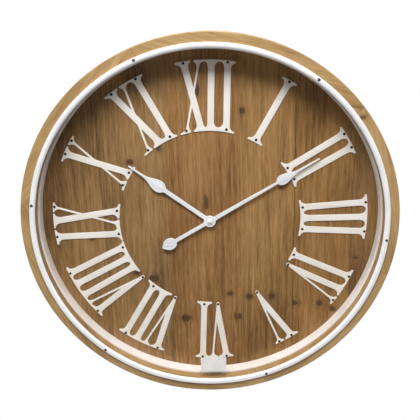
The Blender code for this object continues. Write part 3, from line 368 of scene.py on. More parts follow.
def add(tree, kind, inputs=None, **settings):
    """Adds a node. inputs are values or the outputs of other nodes, by name or number."""
    node = tree.nodes.new(kind)
    for key, value in settings.items():
        setattr(node, key, value)
    for key, value in (inputs or {}).items():
        if isinstance(value, bpy.types.NodeSocket):
            tree.links.new(value, node.inputs[key])
        else:
            node.inputs[key].default_value = value
    return node


def new_material(name, roughness, metallic=0.0):
    """A material with its node tree and its shader."""
    made = bpy.data.materials.new(name)
    made.use_nodes = True
    shader = made.node_tree.nodes["Principled BSDF"]
    shader.inputs["Roughness"].default_value = roughness
    shader.inputs["Metallic"].default_value = metallic
    return made, made.node_tree, shader


def ramp(tree, factor, stops):
    """A colour ramp over (place, hex colour) stops."""
    node = add(tree, "ShaderNodeValToRGB", {"Fac": factor})
    elements = node.color_ramp.elements
    elements[0].position = stops[0][0]
    elements[0].color = linear(stops[0][1])
    elements[1].position = stops[-1][0]
    elements[1].color = linear(stops[-1][1])
    for place, colour in stops[1:-1]:
        elements.new(place).color = linear(colour)
    return node.outputs["Color"]


def summed(tree, terms):
    """Adds up (output, weight) pairs."""
    total = None
    for output, weight in terms:
        inputs = {0: output, 1: weight}
        if total is None:
            total = add(tree, "ShaderNodeMath", inputs, operation="MULTIPLY").outputs[0]
        else:
            inputs[2] = total
            total = add(tree, "ShaderNodeMath", inputs, operation="MULTIPLY_ADD").outputs[0]
    return total


def bumped(tree, shader, height, distance):
    """Raises a surface by this distance where height is 1."""
    bump = add(tree, "ShaderNodeBump", {"Height": height, "Distance": distance})
    tree.links.new(bump.outputs["Normal"], shader.inputs["Normal"])


def dulled(tree, shader, pattern, least, most):
    """Lets the roughness follow a pattern between these two values."""
    limits = {"From Min": 0.3, "From Max": 0.7, "To Min": least, "To Max": most}
    dull = add(tree, "ShaderNodeMapRange", {"Value": pattern, **limits}).outputs[0]
    tree.links.new(dull, shader.inputs["Roughness"])


def stretched_noise(tree, vector, per_metre, detail, roughness=0.5):
    """Noise on a vector whose x, y and z are scaled by these counts in a metre."""
    scaled = add(tree, "ShaderNodeMapping", {"Vector": vector, "Scale": per_metre})
    noise = add(
        tree, "ShaderNodeTexNoise",
        {"Vector": scaled.outputs["Vector"], "Scale": 1.0, "Detail": detail, "Roughness": roughness},
    )
    return noise


KNOT_REACH = 4.0        # a knot's stain ends at this many times its own size
# How dark a knot is from its heart outwards: its own rings, then the stain about it.
KNOT_RINGS = (
    (0.0, "#F8F8F8"), (0.1, "#F4F4F4"), (0.17, "#CCCCCC"), (0.23, "#F8F8F8"), (0.3, "#C8C8C8"),
    (0.42, "#7C7C7C"), (0.85, "#000000"),
)


def knot_marks(tree, knots, place):
    """How dark each knot makes a point, and how far it pushes the grain aside."""
    dark = None
    push = None
    for x, y, size, height in knots:
        scale = (1 / size, 0, 1 / height)
        middle = (-x / size, 0, -(y + HANDS_AXIS_Z) / height)
        centred = add(
            tree, "ShaderNodeMapping", {"Vector": place, "Location": middle, "Scale": scale}
        )
        length = add(tree, "ShaderNodeVectorMath", {0: centred.outputs[0]}, operation="LENGTH")
        away = length.outputs["Value"]
        share = add(tree, "ShaderNodeMath", {0: away, 1: KNOT_REACH}, operation="DIVIDE").outputs[0]
        mark = ramp(tree, share, KNOT_RINGS)
        near = add(
            tree, "ShaderNodeMapRange",
            {"Value": away, "From Min": 0.0, "From Max": 3.4, "To Min": 0.7, "To Max": 0.0},
            interpolation_type="SMOOTHERSTEP",
        ).outputs[0]
        aside = add(tree, "ShaderNodeSeparateXYZ", {0: centred.outputs[0]}).outputs["X"]
        shift = add(tree, "ShaderNodeMath", {0: near, 1: aside}, operation="MULTIPLY").outputs[0]
        shift = add(tree, "ShaderNodeMath", {0: shift, 1: size}, operation="MULTIPLY").outputs[0]
        if dark is None:
            dark, push = mark, shift
            continue
        dark = add(tree, "ShaderNodeMath", {0: dark, 1: mark}, operation="MAXIMUM").outputs[0]
        push = add(tree, "ShaderNodeMath", {0: push, 1: shift}, operation="ADD").outputs[0]
    return dark, push


def wood(name, tones, knot_tone, ring_mm, weights, roughness, knots=(), bump=0.15 * MM):
    """Sawn softwood. tones run from early wood to late wood, ring_mm is the ring spacing.

    It reads the grain attribute, so that streaks run along each board, rings follow them and cut
    ends show end grain. weights are those of rings, broad streaks, fine fibres and blotches.
    """
    made, tree, shader = new_material(name, roughness)
    grain = add(tree, "ShaderNodeAttribute", attribute_name="grain").outputs["Vector"]
    place = add(tree, "ShaderNodeTexCoord").outputs["Object"]
    wander = stretched_noise(tree, grain, (3, 16, 16), 2).outputs["Color"]
    wander = add(tree, "ShaderNodeVectorMath", {0: wander, 1: (0.5, 0.5, 0.5)}, operation="SUBTRACT")
    reach = (0.0, 14 * MM, 14 * MM)
    wavy = add(
        tree, "ShaderNodeVectorMath", {0: wander.outputs[0], 1: reach, 2: grain}, operation="MULTIPLY_ADD"
    ).outputs[0]
    dark = None
    if knots:
        jitter = stretched_noise(tree, place, (120, 120, 120), 2).outputs["Color"]
        jitter = add(tree, "ShaderNodeVectorMath", {0: jitter, 1: (0.5, 0.5, 0.5)}, operation="SUBTRACT")
        shaken = add(
            tree, "ShaderNodeVectorMath",
            {0: jitter.outputs[0], 1: (5 * MM, 0, 5 * MM), 2: place}, operation="MULTIPLY_ADD",
        ).outputs[0]
        dark, push = knot_marks(tree, knots, shaken)
        back = add(tree, "ShaderNodeMath", {0: push, 1: -1.0}, operation="MULTIPLY").outputs[0]
        shift = add(tree, "ShaderNodeCombineXYZ", {"Y": back}).outputs[0]
        wavy = add(tree, "ShaderNodeVectorMath", {0: wavy, 1: shift}, operation="ADD").outputs[0]
    flat = add(tree, "ShaderNodeMapping", {"Vector": wavy, "Scale": (0.05, 1, 1)}).outputs[0]
    # A wave texture turns once in 0.314 units at a scale of 1.
    rings = add(
        tree, "ShaderNodeTexWave",
        {"Vector": flat, "Scale": 314 / ring_mm, "Distortion": 4.0, "Detail": 2.0, "Detail Scale": 0.4},
        wave_type="RINGS", rings_direction="X", wave_profile="SAW",
    ).outputs["Fac"]
    streaks = stretched_noise(tree, wavy, (6, 120, 120), 4, 0.6).outputs["Fac"]
    fibres = stretched_noise(tree, wavy, (26, 420, 420), 3, 0.7).outputs["Fac"]
    blotches = stretched_noise(tree, grain, (3, 11, 11), 2).outputs["Fac"]
    mixed = summed(tree, zip((rings, streaks, fibres, blotches), weights))
    colour = ramp(tree, mixed, ((0.39, tones[0]), (0.5, tones[1]), (0.61, tones[2])))
    if knots:
        colour = add(
            tree, "ShaderNodeMix", {"Factor": dark, 6: colour, 7: linear(knot_tone)},
            data_type="RGBA", clamp_factor=True,
        ).outputs[2]
    tree.links.new(colour, shader.inputs["Base Color"])
    dulled(tree, shader, fibres, roughness - 0.08, roughness + 0.1)
    bumped(tree, shader, mixed, bump)
    return made


def enamel(name, tint, shade, roughness, coat=0.0):
    """Sprayed enamel: near white, with a slight orange peel and a faint unevenness of tone."""
    made, tree, shader = new_material(name, roughness)
    place = add(tree, "ShaderNodeTexCoord").outputs["Object"]
    cloud = stretched_noise(tree, place, (22, 22, 22), 3).outputs["Fac"]
    tree.links.new(ramp(tree, cloud, ((0.35, shade), (0.65, tint))), shader.inputs["Base Color"])
    peel = stretched_noise(tree, place, (700, 700, 700), 2).outputs["Fac"]
    bumped(tree, shader, peel, 0.03 * MM)
    dulled(tree, shader, cloud, roughness - 0.06, roughness + 0.06)
    shader.inputs["Coat Weight"].default_value = coat
    return made


def metal(name, tint, shade, roughness, grain_per_metre, bump=0.02 * MM):
    """Bare or plated metal. grain_per_metre sets which way its fine marks run."""
    made, tree, shader = new_material(name, roughness, 1.0)
    place = add(tree, "ShaderNodeTexCoord").outputs["Object"]
    marks = stretched_noise(tree, place, grain_per_metre, 4, 0.6).outputs["Fac"]
    tree.links.new(ramp(tree, marks, ((0.3, shade), (0.7, tint))), shader.inputs["Base Color"])
    dulled(tree, shader, marks, roughness - 0.08, roughness + 0.1)
    bumped(tree, shader, marks, bump)
    return made


def moulded(name, tint, shade, roughness, texture_mm=0.6, bump=0.05 * MM):
    """Moulded plastic, rubber or card: a fine even texture, texture_mm across, and a cloudy tone."""
    made, tree, shader = new_material(name, roughness)
    place = add(tree, "ShaderNodeTexCoord").outputs["Object"]
    count = 1 / (texture_mm * MM)
    texture = stretched_noise(tree, place, (count, count, count), 2, 0.6).outputs["Fac"]
    cloud = stretched_noise(tree, place, (60, 60, 60), 2).outputs["Fac"]
    mixed = summed(tree, ((texture, 0.5), (cloud, 0.5)))
    tree.links.new(ramp(tree, mixed, ((0.35, shade), (0.65, tint))), shader.inputs["Base Color"])
    bumped(tree, shader, texture, bump)
    return made


def float_glass():
    """Coated low-glare float glass, 3 mm: almost no mirror face on, and more at a slant."""
    made, tree, shader = new_material("clear_float_glass", 0.02)
    tree.nodes.remove(shader)
    fresnel = add(tree, "ShaderNodeFresnel", {"IOR": 1.2}).outputs[0]
    inside = add(tree, "ShaderNodeNewGeometry").outputs["Backfacing"]
    outside = add(tree, "ShaderNodeMath", {0: 1.0, 1: inside}, operation="SUBTRACT").outputs[0]
    share = add(tree, "ShaderNodeMath", {0: fresnel, 1: outside}, operation="MULTIPLY").outputs[0]
    clear = add(tree, "ShaderNodeBsdfTransparent", {"Color": linear("#FEFEFE")}).outputs[0]
    mirror = add(tree, "ShaderNodeBsdfGlossy", {"Color": (1, 1, 1, 1), "Roughness": 0.02}).outputs[0]
    mixed = add(tree, "ShaderNodeMixShader", {0: share, 1: clear, 2: mirror}).outputs[0]
    tree.links.new(mixed, tree.nodes["Material Output"].inputs["Surface"])
    return made


def bent_plywood():
    """The case hoop: thin plies bent round, their edges in dark and light bands, a plain face."""
    made, tree, shader = new_material("bent_birch_plywood", 0.6)
    grain = add(tree, "ShaderNodeAttribute", attribute_name="grain").outputs["Vector"]
    through = add(tree, "ShaderNodeSeparateXYZ", {0: grain}).outputs["Z"]
    # Plies 2.6 mm thick: one light and one dark make 5.2 mm, or 1208 radians in a metre.
    turn = add(tree, "ShaderNodeMath", {0: through, 1: 1208.0}, operation="MULTIPLY").outputs[0]
    band = add(tree, "ShaderNodeMath", {0: turn}, operation="SINE").outputs[0]
    ply = add(
        tree, "ShaderNodeMapRange", {"Value": band, "From Min": -0.3, "From Max": 0.3}
    ).outputs[0]
    streaks = stretched_noise(tree, grain, (6, 190, 190), 4, 0.6).outputs["Fac"]
    blotches = stretched_noise(tree, grain, (4, 14, 14), 2).outputs["Fac"]
    mixed = summed(tree, ((streaks, 0.55), (blotches, 0.25), (ply, 0.2)))
    tones = ((0.25, "#D3AE76"), (0.5, "#BE9358"), (0.78, "#8F6536"))
    tree.links.new(ramp(tree, mixed, tones), shader.inputs["Base Color"])
    bumped(tree, shader, mixed, 0.12 * MM)
    return made


def shrink_wrap():
    """A plain cell's printed film: charcoal with a pale band near its + end, glossy."""
    made, tree, shader = new_material("printed_cell_film", 0.28)
    place = add(tree, "ShaderNodeTexCoord").outputs["Object"]
    along = add(tree, "ShaderNodeSeparateXYZ", {0: place}).outputs["X"]
    low, high = span("battery")
    share = add(
        tree, "ShaderNodeMapRange", {"Value": along, "From Min": low.x, "From Max": high.x}
    ).outputs[0]
    stops = ((0.0, "#2B3036"), (0.74, "#2E343A"), (0.745, "#B9BEC2"), (0.8, "#B9BEC2"), (0.805, "#3A4148"))
    tree.links.new(ramp(tree, share, stops), shader.inputs["Base Color"])
    wrinkles = stretched_noise(tree, place, (90, 260, 260), 3).outputs["Fac"]
    bumped(tree, shader, wrinkles, 0.05 * MM)
    return made


def circuit_mask():
    """Solder mask over copper tracks: green, with paler tracks in straight runs."""
    made, tree, shader = new_material("solder_mask", 0.35)
    place = add(tree, "ShaderNodeTexCoord").outputs["Object"]
    scaled = add(tree, "ShaderNodeMapping", {"Vector": place, "Scale": (300, 300, 300)}).outputs[0]
    cells = add(
        tree, "ShaderNodeTexVoronoi", {"Vector": scaled, "Scale": 1.0}, distance="CHEBYCHEV"
    ).outputs["Distance"]
    tones = ((0.35, "#1F5A33"), (0.45, "#3E8A52"), (0.5, "#1F5A33"))
    tree.links.new(ramp(tree, cells, tones), shader.inputs["Base Color"])
    return made


def wound_copper():
    """Enamelled copper wire, wound in rows 0.2 mm apart; drawn twice as coarse so that it shows. Each row
    is bright along its middle and dark where it meets the next: painted shade in the grooves.
    """
    made, tree, shader = new_material("enamelled_copper_winding", 0.3, 1.0)
    place = add(tree, "ShaderNodeTexCoord").outputs["Object"]
    rows = add(
        tree, "ShaderNodeTexWave", {"Vector": place, "Scale": 785.0}, wave_type="BANDS", bands_direction="X"
    ).outputs["Fac"]
    # Dark between the rows and bright along their middles: painted shade in the grooves between turns, over
    # the bump that shapes them.
    tree.links.new(ramp(tree, rows, ((0.0, "#6A3316"), (1.0, "#D08146"))), shader.inputs["Base Color"])
    bumped(tree, shader, rows, 0.05 * MM)
    return made


# Knots of each dial board: x and y from the hands' axis, half width and half height, in millimetres.
KNOTS = {
    1: ((-215, 157, 9, 5), (-262, -38, 4, 3)),
    2: ((-168, 135, 6, 5), (-104, 163, 5, 4), (-168, -121, 6, 5), (-131, -136, 9, 6)),
    3: ((-7, 40, 4, 13), (-19, 283, 4, 9), (42, -178, 5, 4), (-61, -238, 9, 6), (65, -236, 10, 6)),
    4: ((72, 238, 6, 5), (86, -187, 6, 5), (136, -187, 5, 5)),
    5: ((185, -205, 9, 5), (245, -207, 5, 5), (276, -222, 6, 5)),
    6: ((322, -96, 4, 3),),
}
BOARD_TONES = {
    1: ("#A88256", "#8B683B", "#5E4020"),
    2: ("#AE8A5C", "#916E40", "#664827"),
    3: ("#AC8250", "#8C6334", "#5E3E1C"),
    4: ("#B48A57", "#96703D", "#6A4823"),
    5: ("#AC824F", "#8E6736", "#60401D"),
    6: ("#A27C50", "#866338", "#5A3E1F"),
}


def board_wood(number):
    """Knotty fir, stained a mid brown and left matt: soft rings, dark knots, open fibres."""
    knots = [tuple(value * MM for value in knot) for knot in KNOTS[number]]
    name = f"stained_knotty_fir_{number}"
    return wood(name, BOARD_TONES[number], "#3A2210", 9.0, (0.05, 0.27, 0.34, 0.34), 0.62, knots)


RIM_KNOT_ANGLE = 54     # degrees clockwise from the top
# The rim's tones, knot tone, ring spacing in mm, weights and roughness.
RIM_WOOD = (("#BE9E6E", "#A98655", "#86663C"), "#5A3719", 4.6, (0.03, 0.31, 0.36, 0.3), 0.55)


def make_materials():
    """Every finish by its name."""
    made = {f"board_{number}": board_wood(number) for number in KNOTS}
    # Fir planed and clear-lacquered: honey coloured, fine close rings, a low sheen.
    made["rim"] = wood("lacquered_fir", *RIM_WOOD)
    # The same fir with its knot, on the one rim piece that has it; the knot's crack is not drawn.
    made["rim_knotty"] = wood(
        "lacquered_fir_with_knot", *RIM_WOOD, [(*on_dial(RIM_KNOT_ANGLE, 386 * MM), 5 * MM, 3 * MM)]
    )
    # Sawn pine left raw: paler and duller than the front.
    made["raw"] = wood(
        "raw_sawn_pine", ("#DDC19A", "#C9A97C", "#A5835A"), "#6A4522", 6.0, (0.1, 0.32, 0.32, 0.26), 0.75
    )
    made["ply"] = bent_plywood()
    made["bezel"] = enamel("white_enamelled_steel", "#F6F6F7", "#EEEEF0", 0.32, 0.2)
    made["numeral"] = enamel("ivory_enamelled_steel", "#F9F4EC", "#F2EDE4", 0.42)
    made["hand"] = enamel("white_enamelled_brass_hands", "#F3F4F5", "#E8EAEC", 0.35)
    made["liner"] = enamel("matt_white_board_paint", "#F5F0EC", "#EBE3DC", 0.6)
    made["glass"] = float_glass()
    # Uncoated card: matt, with a faint fibre.
    made["card"] = moulded("uncoated_white_card", "#F4F1EF", "#E6E1DD", 0.85, 0.8, 0.03 * MM)
    # Black-painted steel: near black, with a dull sheen where the paint is thick.
    made["black_steel"] = moulded("black_painted_steel", "#0E0D0D", "#070707", 0.8, 0.9, 0.04 * MM)
    made["zinc"] = metal("bright_zinc_plate", "#C9CBCD", "#A6A9AC", 0.32, (60, 900, 900))
    made["brass"] = metal("turned_brass", "#D6B25E", "#B48E3E", 0.28, (900, 900, 900))
    made["magnet"] = metal("sintered_magnet", "#4A4A4E", "#2E2E32", 0.5, (900, 900, 900))
    made["copper"] = wound_copper()
    made["rubber"] = moulded("black_rubber", "#26262A", "#161618", 0.75, 0.7)
    made["abs"] = moulded("spark_textured_black_abs", "#2C2C30", "#1D1D20", 0.5, 0.5)
    made["acetal"] = moulded("natural_acetal", "#EDEAE0", "#DCD8CB", 0.4, 0.6, 0.02 * MM)
    made["film"] = shrink_wrap()
    made["mask"] = circuit_mask()
    return made


FINISH = make_materials()


# ---- Reading the frame ------------------------------------------------------------------------------
def spots_of(node):
    """A node's corners seen from the front, as (x, y) from the hands' axis."""
    return [(v.co.x, v.co.z - HANDS_AXIS_Z) for v in frame["nodes"][node].data.vertices]


def reach(node):
    """The least and the greatest distance of a node's corners from the hands' axis."""
    away = [math.hypot(*spot) for spot in spots_of(node)]
    return min(away), max(away)


def arc_of(node):
    """The clockwise angles at which a piece of the rim starts and ends."""
    spots = spots_of(node)
    middle = math.atan2(sum(x for x, y in spots), sum(y for x, y in spots))
    turns = [(math.atan2(x, y) - middle + math.pi) % math.tau - math.pi for x, y in spots]
    return math.degrees(middle + min(turns)), math.degrees(middle + max(turns))


def pointing(node):
    """The clockwise angle at which a hand points."""
    tip = reach(node)[1]
    ends = [spot for spot in spots_of(node) if math.hypot(*spot) > tip - 0.1 * MM]
    return math.degrees(math.atan2(sum(x for x, y in ends), sum(y for x, y in ends)))


def axis_of(joint):
    """Where a joint's axis meets the dial's plane."""
    place = JOINTS[joint]["pos_m"]
    return place[0], place[2] - HANDS_AXIS_Z


def moved(shape, x=0.0, y=0.0, d=0.0):
    """A shape shifted as a whole."""
    bmesh.ops.translate(shape, verts=shape.verts, vec=(x, y, d))
    return shape


def carved(shape, *cutters):
    """A shape with others cut out of it."""
    items = []
    for source in (shape, *cutters):
        mesh = bpy.data.meshes.new("carved")
        source.to_mesh(mesh)
        source.free()
        item = bpy.data.objects.new("carved", mesh)
        bpy.context.scene.collection.objects.link(item)
        items.append(item)
    for tool in items[1:]:
        step = items[0].modifiers.new("cut", "BOOLEAN")
        step.operation = "DIFFERENCE"
        step.object = tool
    graph = bpy.context.evaluated_depsgraph_get()
    mesh = bpy.data.meshes.new_from_object(items[0].evaluated_get(graph))
    for item in items:
        bpy.data.meshes.remove(item.data)
    result = bmesh.new()
    result.from_mesh(mesh)
    bpy.data.meshes.remove(mesh)
    return result


def ring_outline(radius, steps, middle=(0, 0)):
    """A circle as an outline."""
    return [on_circle(radius, -360 * i / steps, middle) for i in range(steps)]


def run_of_grain(angle, offset):
    """The rule for a board whose grain runs at this clockwise angle from straight up.

    A rule takes a corner and its face's middle; a straight board needs only the corner.
    """
    run = Vector(on_dial(angle, 1))

    def rule(co, _middle):
        return Vector((co.x * run.x + co.y * run.y, co.x * run.y - co.y * run.x, co.z)) + offset

    return rule


def round_grain(co, middle):
    """The rule for a board bent round the dial."""
    turn = math.atan2(middle.x, middle.y)
    aside = (math.atan2(co.x, co.y) - turn + math.pi) % math.tau - math.pi
    return Vector(((turn + aside) * reach("case_hoop")[1], co.z, math.hypot(co.x, co.y)))


# ---- Case, dial and liner ---------------------------------------------------------------------------
RIM_STEP = 1.5          # degrees between the sections of a turned piece
GLASS_ROOM = 0.3 * MM
POCKET_RADIUS = 6 * MM
POCKET_DEPTH = 7 * MM
POCKET_BELOW_HOOK = 7.5 * MM


def make_rim():
    """Six pieces of fir, sawn to the curve and butted, their front edge rounded over."""
    shelf = depths("glass_pane")[0] - GLASS_ROOM
    rebate = radius_of("glass_pane") + GLASS_ROOM
    chance = random.Random(11)
    for number in range(1, 7):
        node = f"rim_segment_{number}"
        inner, outer = reach(node)
        back, front = depths(node)
        start, end = arc_of(node)
        seam = (shelf + depths("liner_hoop")[1]) / 2
        profile = filleted((
            (outer, back, 1 * MM), (outer, front, 2.4 * MM), (rebate, front, 1.1 * MM),
            (rebate, shelf, 0), (inner, shelf, 0.3 * MM), (inner, seam + 0.6 * MM, 0),
            (inner + 0.9 * MM, seam + 0.2 * MM, 0), (inner + 0.9 * MM, seam - 0.2 * MM, 0),
            (inner, seam - 0.6 * MM, 0), (inner, back, 0.6 * MM),
        ))
        shape = revolved(profile, round((end - start) / RIM_STEP), start, end)
        ends = [face for face in shape.faces if len(face.verts) > 4]
        edges = {edge for face in ends for edge in face.edges}
        bmesh.ops.bevel(shape, geom=list(edges), offset=0.3 * MM, segments=1, affect="EDGES")
        middle = (start + end) / 2
        offset = Vector((chance.random(), outer + chance.uniform(-8, 8) * MM, chance.uniform(25, 45) * MM))
        with_grain(shape, run_of_grain(middle + 90, offset))
        finish = FINISH["rim_knotty" if start < RIM_KNOT_ANGLE < end else "rim"]
        piece(f"rim_piece_{number}", shape, finish, stands_for=[node])


def make_hoop():
    """The side of the case, bent from plywood, with a pocket for the head of the wall screw."""
    inner, outer = (reach("liner_hoop")[1] + GLASS_ROOM, reach("case_hoop")[1])
    back, front = depths("case_hoop")
    profile = filleted((
        (outer, back, 1.2 * MM), (outer, front, 0.8 * MM), (inner, front, 0.4 * MM), (inner, back, 1 * MM),
    ))
    shape = revolved(profile, round(360 / RIM_STEP))
    pocket = revolved([(0, -POCKET_DEPTH), (POCKET_RADIUS, -POCKET_DEPTH), (POCKET_RADIUS, POCKET_DEPTH),
                       (0, POCKET_DEPTH)], 24)
    moved(pocket, 0, -HANDS_AXIS_Z - POCKET_BELOW_HOOK, back)
    shape = with_grain(carved(shape, pocket), round_grain)
    piece("bent_hoop", shape, FINISH["ply"], stands_for=["case_hoop"])


def make_dial():
    """Six fir boards side by side, stained in front and raw behind."""
    chance = random.Random(23)
    for number in range(1, 7):
        node = f"dial_plank_{number}"
        back, front = depths(node)
        shape = plate(front_outlines(node), back, front, 0.7 * MM)
        for face in shape.faces:
            face.material_index = 1 if face.normal.z < -0.5 else 0
        offset = Vector((chance.random() * 3, -middle_of(node).x + chance.uniform(-25, 25) * MM,
                         chance.uniform(14, 40) * MM))
        with_grain(shape, run_of_grain(0, offset))
        finishes = [FINISH[f"board_{number}"], FINISH["raw"]]
        piece(f"dial_board_{number}", shape, finishes, stands_for=[node])
    for name in ("upper", "lower"):
        node = f"back_batten_{name}"
        shape = rounded_block(*span(node), 1.5 * MM)
        middle = middle_of(node)
        offset = Vector((chance.random() * 3, middle.y + chance.uniform(-10, 10) * MM, 20 * MM))
        with_grain(shape, run_of_grain(90, offset))
        piece(f"batten_{name}", shape, FINISH["raw"], stands_for=[node])


def make_liner():
    """A painted strip bent round inside the case, its front edge rounded."""
    inner, outer = reach("liner_hoop")
    back, front = depths("liner_hoop")
    profile = filleted((
        (outer, back, 0), (outer, front, 0.6 * MM), (inner, front, 1.4 * MM), (inner, back, 0.3 * MM),
    ))
    shape = revolved(profile, 240)
    piece("painted_liner", shape, FINISH["liner"], stands_for=["liner_hoop"])


# ---- Glass, bezel and label -------------------------------------------------------------------------
def make_front():
    """The glass, the rolled ring that holds it and the card behind it."""
    back, front = depths("glass_pane")
    radius = radius_of("glass_pane")
    seam = 0.4 * MM
    profile = [(0, back), (radius - seam, back), (radius, back + seam), (radius, front - seam),
               (radius - seam, front), (0, front)]
    piece("pane", revolved(profile, 240), FINISH["glass"], stands_for=["glass_pane"])

    inner, outer = reach("bezel_ring")
    back, front = depths("bezel_ring")
    profile = filleted((
        (outer, back, 0.3 * MM), (outer, front - 0.4 * MM, 1.6 * MM), (outer - 4 * MM, front, 2 * MM),
        (inner + 3.4 * MM, front, 2.2 * MM), (inner, front - 2.6 * MM, 1.6 * MM), (inner, back, 0.3 * MM),
    ), 5)
    piece("rolled_bezel", revolved(profile, 300), FINISH["bezel"], stands_for=["bezel_ring"])

    low, high = span("paper_tag")
    corner = 1.2 * MM
    outline = filleted([(x, y, corner) for x, y in
                        ((low.x, low.y), (high.x, low.y), (high.x, high.y), (low.x, high.y))])
    shape = plate([outline], low.z, high.z, 0.06 * MM, 1)
    piece("blank_tag", shape, FINISH["card"], stands_for=["paper_tag"])


# ---- Numerals and hands -----------------------------------------------------------------------------
def make_numerals():
    """Cut from steel sheet, their edges softened by the enamel."""
    for hour in range(1, 13):
        node = f"numeral_{hour}"
        outlines = [softened(outline, 5 * MM) for outline in front_outlines(node)]
        shape = plate(outlines, *depths(node), 0.45 * MM)
        piece(f"enamelled_{node}", shape, FINISH["numeral"], stands_for=[node])


def swollen(angle, centre, half_width, half_length, back, height, steps=20, rings=5):
    """A low oval mound on a hand. angle is the hand's, centre is (aside, up)."""
    shape = bmesh.new()
    tiers = []
    for ring in range(rings):
        share = math.cos(math.pi / 2 * ring / rings)
        d = back + height * math.sin(math.pi / 2 * ring / rings)
        tier = []
        for step in range(steps):
            turn = math.tau * step / steps
            aside = centre[0] + half_width * share * math.cos(turn)
            up = centre[1] + half_length * share * math.sin(turn)
            tier.append(shape.verts.new((*on_dial(angle, up, aside), d)))
        tiers.append(tier)
    for low, high in zip(tiers, tiers[1:]):
        for step in range(steps):
            after = (step + 1) % steps
            shape.faces.new((low[step], low[after], high[after], high[step]))
    shape.faces.new(tiers[-1])
    shape.faces.new(reversed(tiers[0]))
    bmesh.ops.recalc_face_normals(shape, faces=shape.faces)
    return shape


# Raised mounds on each hand, in mm: aside, along, half width, half length, height.
HAND_MOUNDS = {
    "hour_hand": ((0, 139, 7, 16, 0.9), (0, 66, 1.9, 48, 0.6)),
    "minute_hand": (
        (0, 186, 6, 14, 0.9), (0, 92, 1.7, 68, 0.6), (0, -48, 1.7, 30, 0.6),
        (-4.2, -101, 3.4, 5.4, 1), (4.2, -101, 3.4, 5.4, 1), (0, -110, 2.6, 4.6, 1),
    ),
}
HAND_EDGE = 0.62 * MM
MOUND_SINK = 0.3 * MM           # how far a mound starts below the hand's face
BEAD_STEPS = 36
TAIL_BEAD_AT = -105 * MM        # middle of the drop-shaped bead on the minute hand's tail
TAIL_BEAD_HALF_WIDTH = 11 * MM
TAIL_BEAD_HALF_LENGTH = 13.6 * MM
TAIL_BEAD_RADIUS = 0.6 * MM
HUB_BEAD_AT = 11.6 * MM         # from the hands' axis
HUB_BEAD_RADIUS = 0.8 * MM
CAP_BORE = 1.9 * MM
CAP_DOME = 4.8 * MM             # radius of the dome on the hands' cap
CAP_FLANGE = 1.5 * MM           # height of the flange that it rises from


def minute_beads(shape, angle, front):
    """The drop-shaped bead on the minute hand's tail, and the round one on its hub."""
    bead = []
    for step in range(BEAD_STEPS):
        turn = math.tau * step / BEAD_STEPS
        wide = TAIL_BEAD_HALF_WIDTH * math.sin(turn) * (1 - 0.16 * math.cos(turn))
        along = TAIL_BEAD_AT - TAIL_BEAD_HALF_LENGTH * math.cos(turn)
        bead.append((*on_dial(angle, along, wide), front))
    added(shape, tube(bead, TAIL_BEAD_RADIUS, closed=True))
    hub = [(*on_circle(HUB_BEAD_AT, 360 / BEAD_STEPS * step), front) for step in range(BEAD_STEPS)]
    added(shape, tube(hub, HUB_BEAD_RADIUS, closed=True))


def make_hands():
    """Pressed brass hands: round-edged, with a raised rib on each spade and a beaded tail."""
    for name, mounds in HAND_MOUNDS.items():
        back, front = depths(name)
        outlines = [softened(outline) for outline in front_outlines(name)]
        shape = plate(outlines, back, front, HAND_EDGE, 3)
        angle = pointing(name)
        for mound in mounds:
            aside, along, half_width, half_length, height = (value * MM for value in mound)
            place = (aside, along)
            added(shape, swollen(angle, place, half_width, half_length, front - MOUND_SINK, height))
        if name == "minute_hand":
            minute_beads(shape, angle, front)
        body = name.split("_")[0]
        piece(f"pressed_{name}", shape, FINISH["hand"], body, [name])

    back, front = depths("hand_cap")
    radius = radius_of("hand_cap")
    arbor = depths("minute_arbor")[1] + GLASS_ROOM
    bore = CAP_BORE
    dome = CAP_DOME
    step_up = back + CAP_FLANGE
    profile = filleted((
        (radius, back, 0.2 * MM), (radius, back + 1.2 * MM, 0.7 * MM), (dome + 1 * MM, step_up, 0.4 * MM),
    ))
    for step in range(7):
        turn = math.pi / 2 * step / 7
        profile.append((dome * math.cos(turn), step_up + (front - step_up) * math.sin(turn)))
    profile += [(0, front), (0, arbor), (bore, arbor), (bore, back)]
    piece("domed_cap", revolved(profile, 48), FINISH["hand"], "minute", ["hand_cap"])


# ---- Fasteners --------------------------------------------------------------------------------------
NAIL_RADIUS = 2.8 * MM
NAIL_FROM_OUTSIDE = 3.5 * MM    # in from a numeral's outer arc
NAIL_FROM_INSIDE = 5.7 * MM     # out from its inner arc
BEZEL_SCREW_FROM_INSIDE = 7 * MM
BEZEL_SCREW_RADIUS = 3.0 * MM
BACK_SCREW_RADIUS = 3.4 * MM
BEZEL_SCREW_ANGLES = (-21.5, 36.2, 95.5, 161.4, 220.4, 279.1)
# Nails through each numeral's feet: how far to the side of its radius, in mm, outside and inside.
NAILS = {
    1: ((0,), (0,)),
    2: ((-16.6, 16.6), (-14.5, 14.5)),
    3: ((-33.7, 33.7), (-25, 25)),
    4: ((-32.3, 34.4), (-18.4, 7.7)),
    5: ((-14.5, 18), (-0.9,)),
    6: ((-30.5, 25.7), (-13.2, 18.1)),
    7: ((-42.7, 40.4), (-20.2, 37.4)),
    8: ((-53.1, 56.3), (-36.5, 46.9)),
    9: ((-30.4, 39.5), (-26.7, 27.4)),
    10: ((-15.7, 16.7), (12.2, -18.8)),
    11: ((-29.5, 30.5), (-29.3, 26.1)),
    12: ((-44.6, 45.4), (-43.3, 40.1)),
}


def nail_head():
    """A forged round head: a low dome with a thick edge."""
    profile = [(0, 0), (1, 0), (1, 0.16), (0.86, 0.3), (0.5, 0.42), (0, 0.46)]
    return revolved([(r * NAIL_RADIUS, d * NAIL_RADIUS) for r, d in profile], 14)


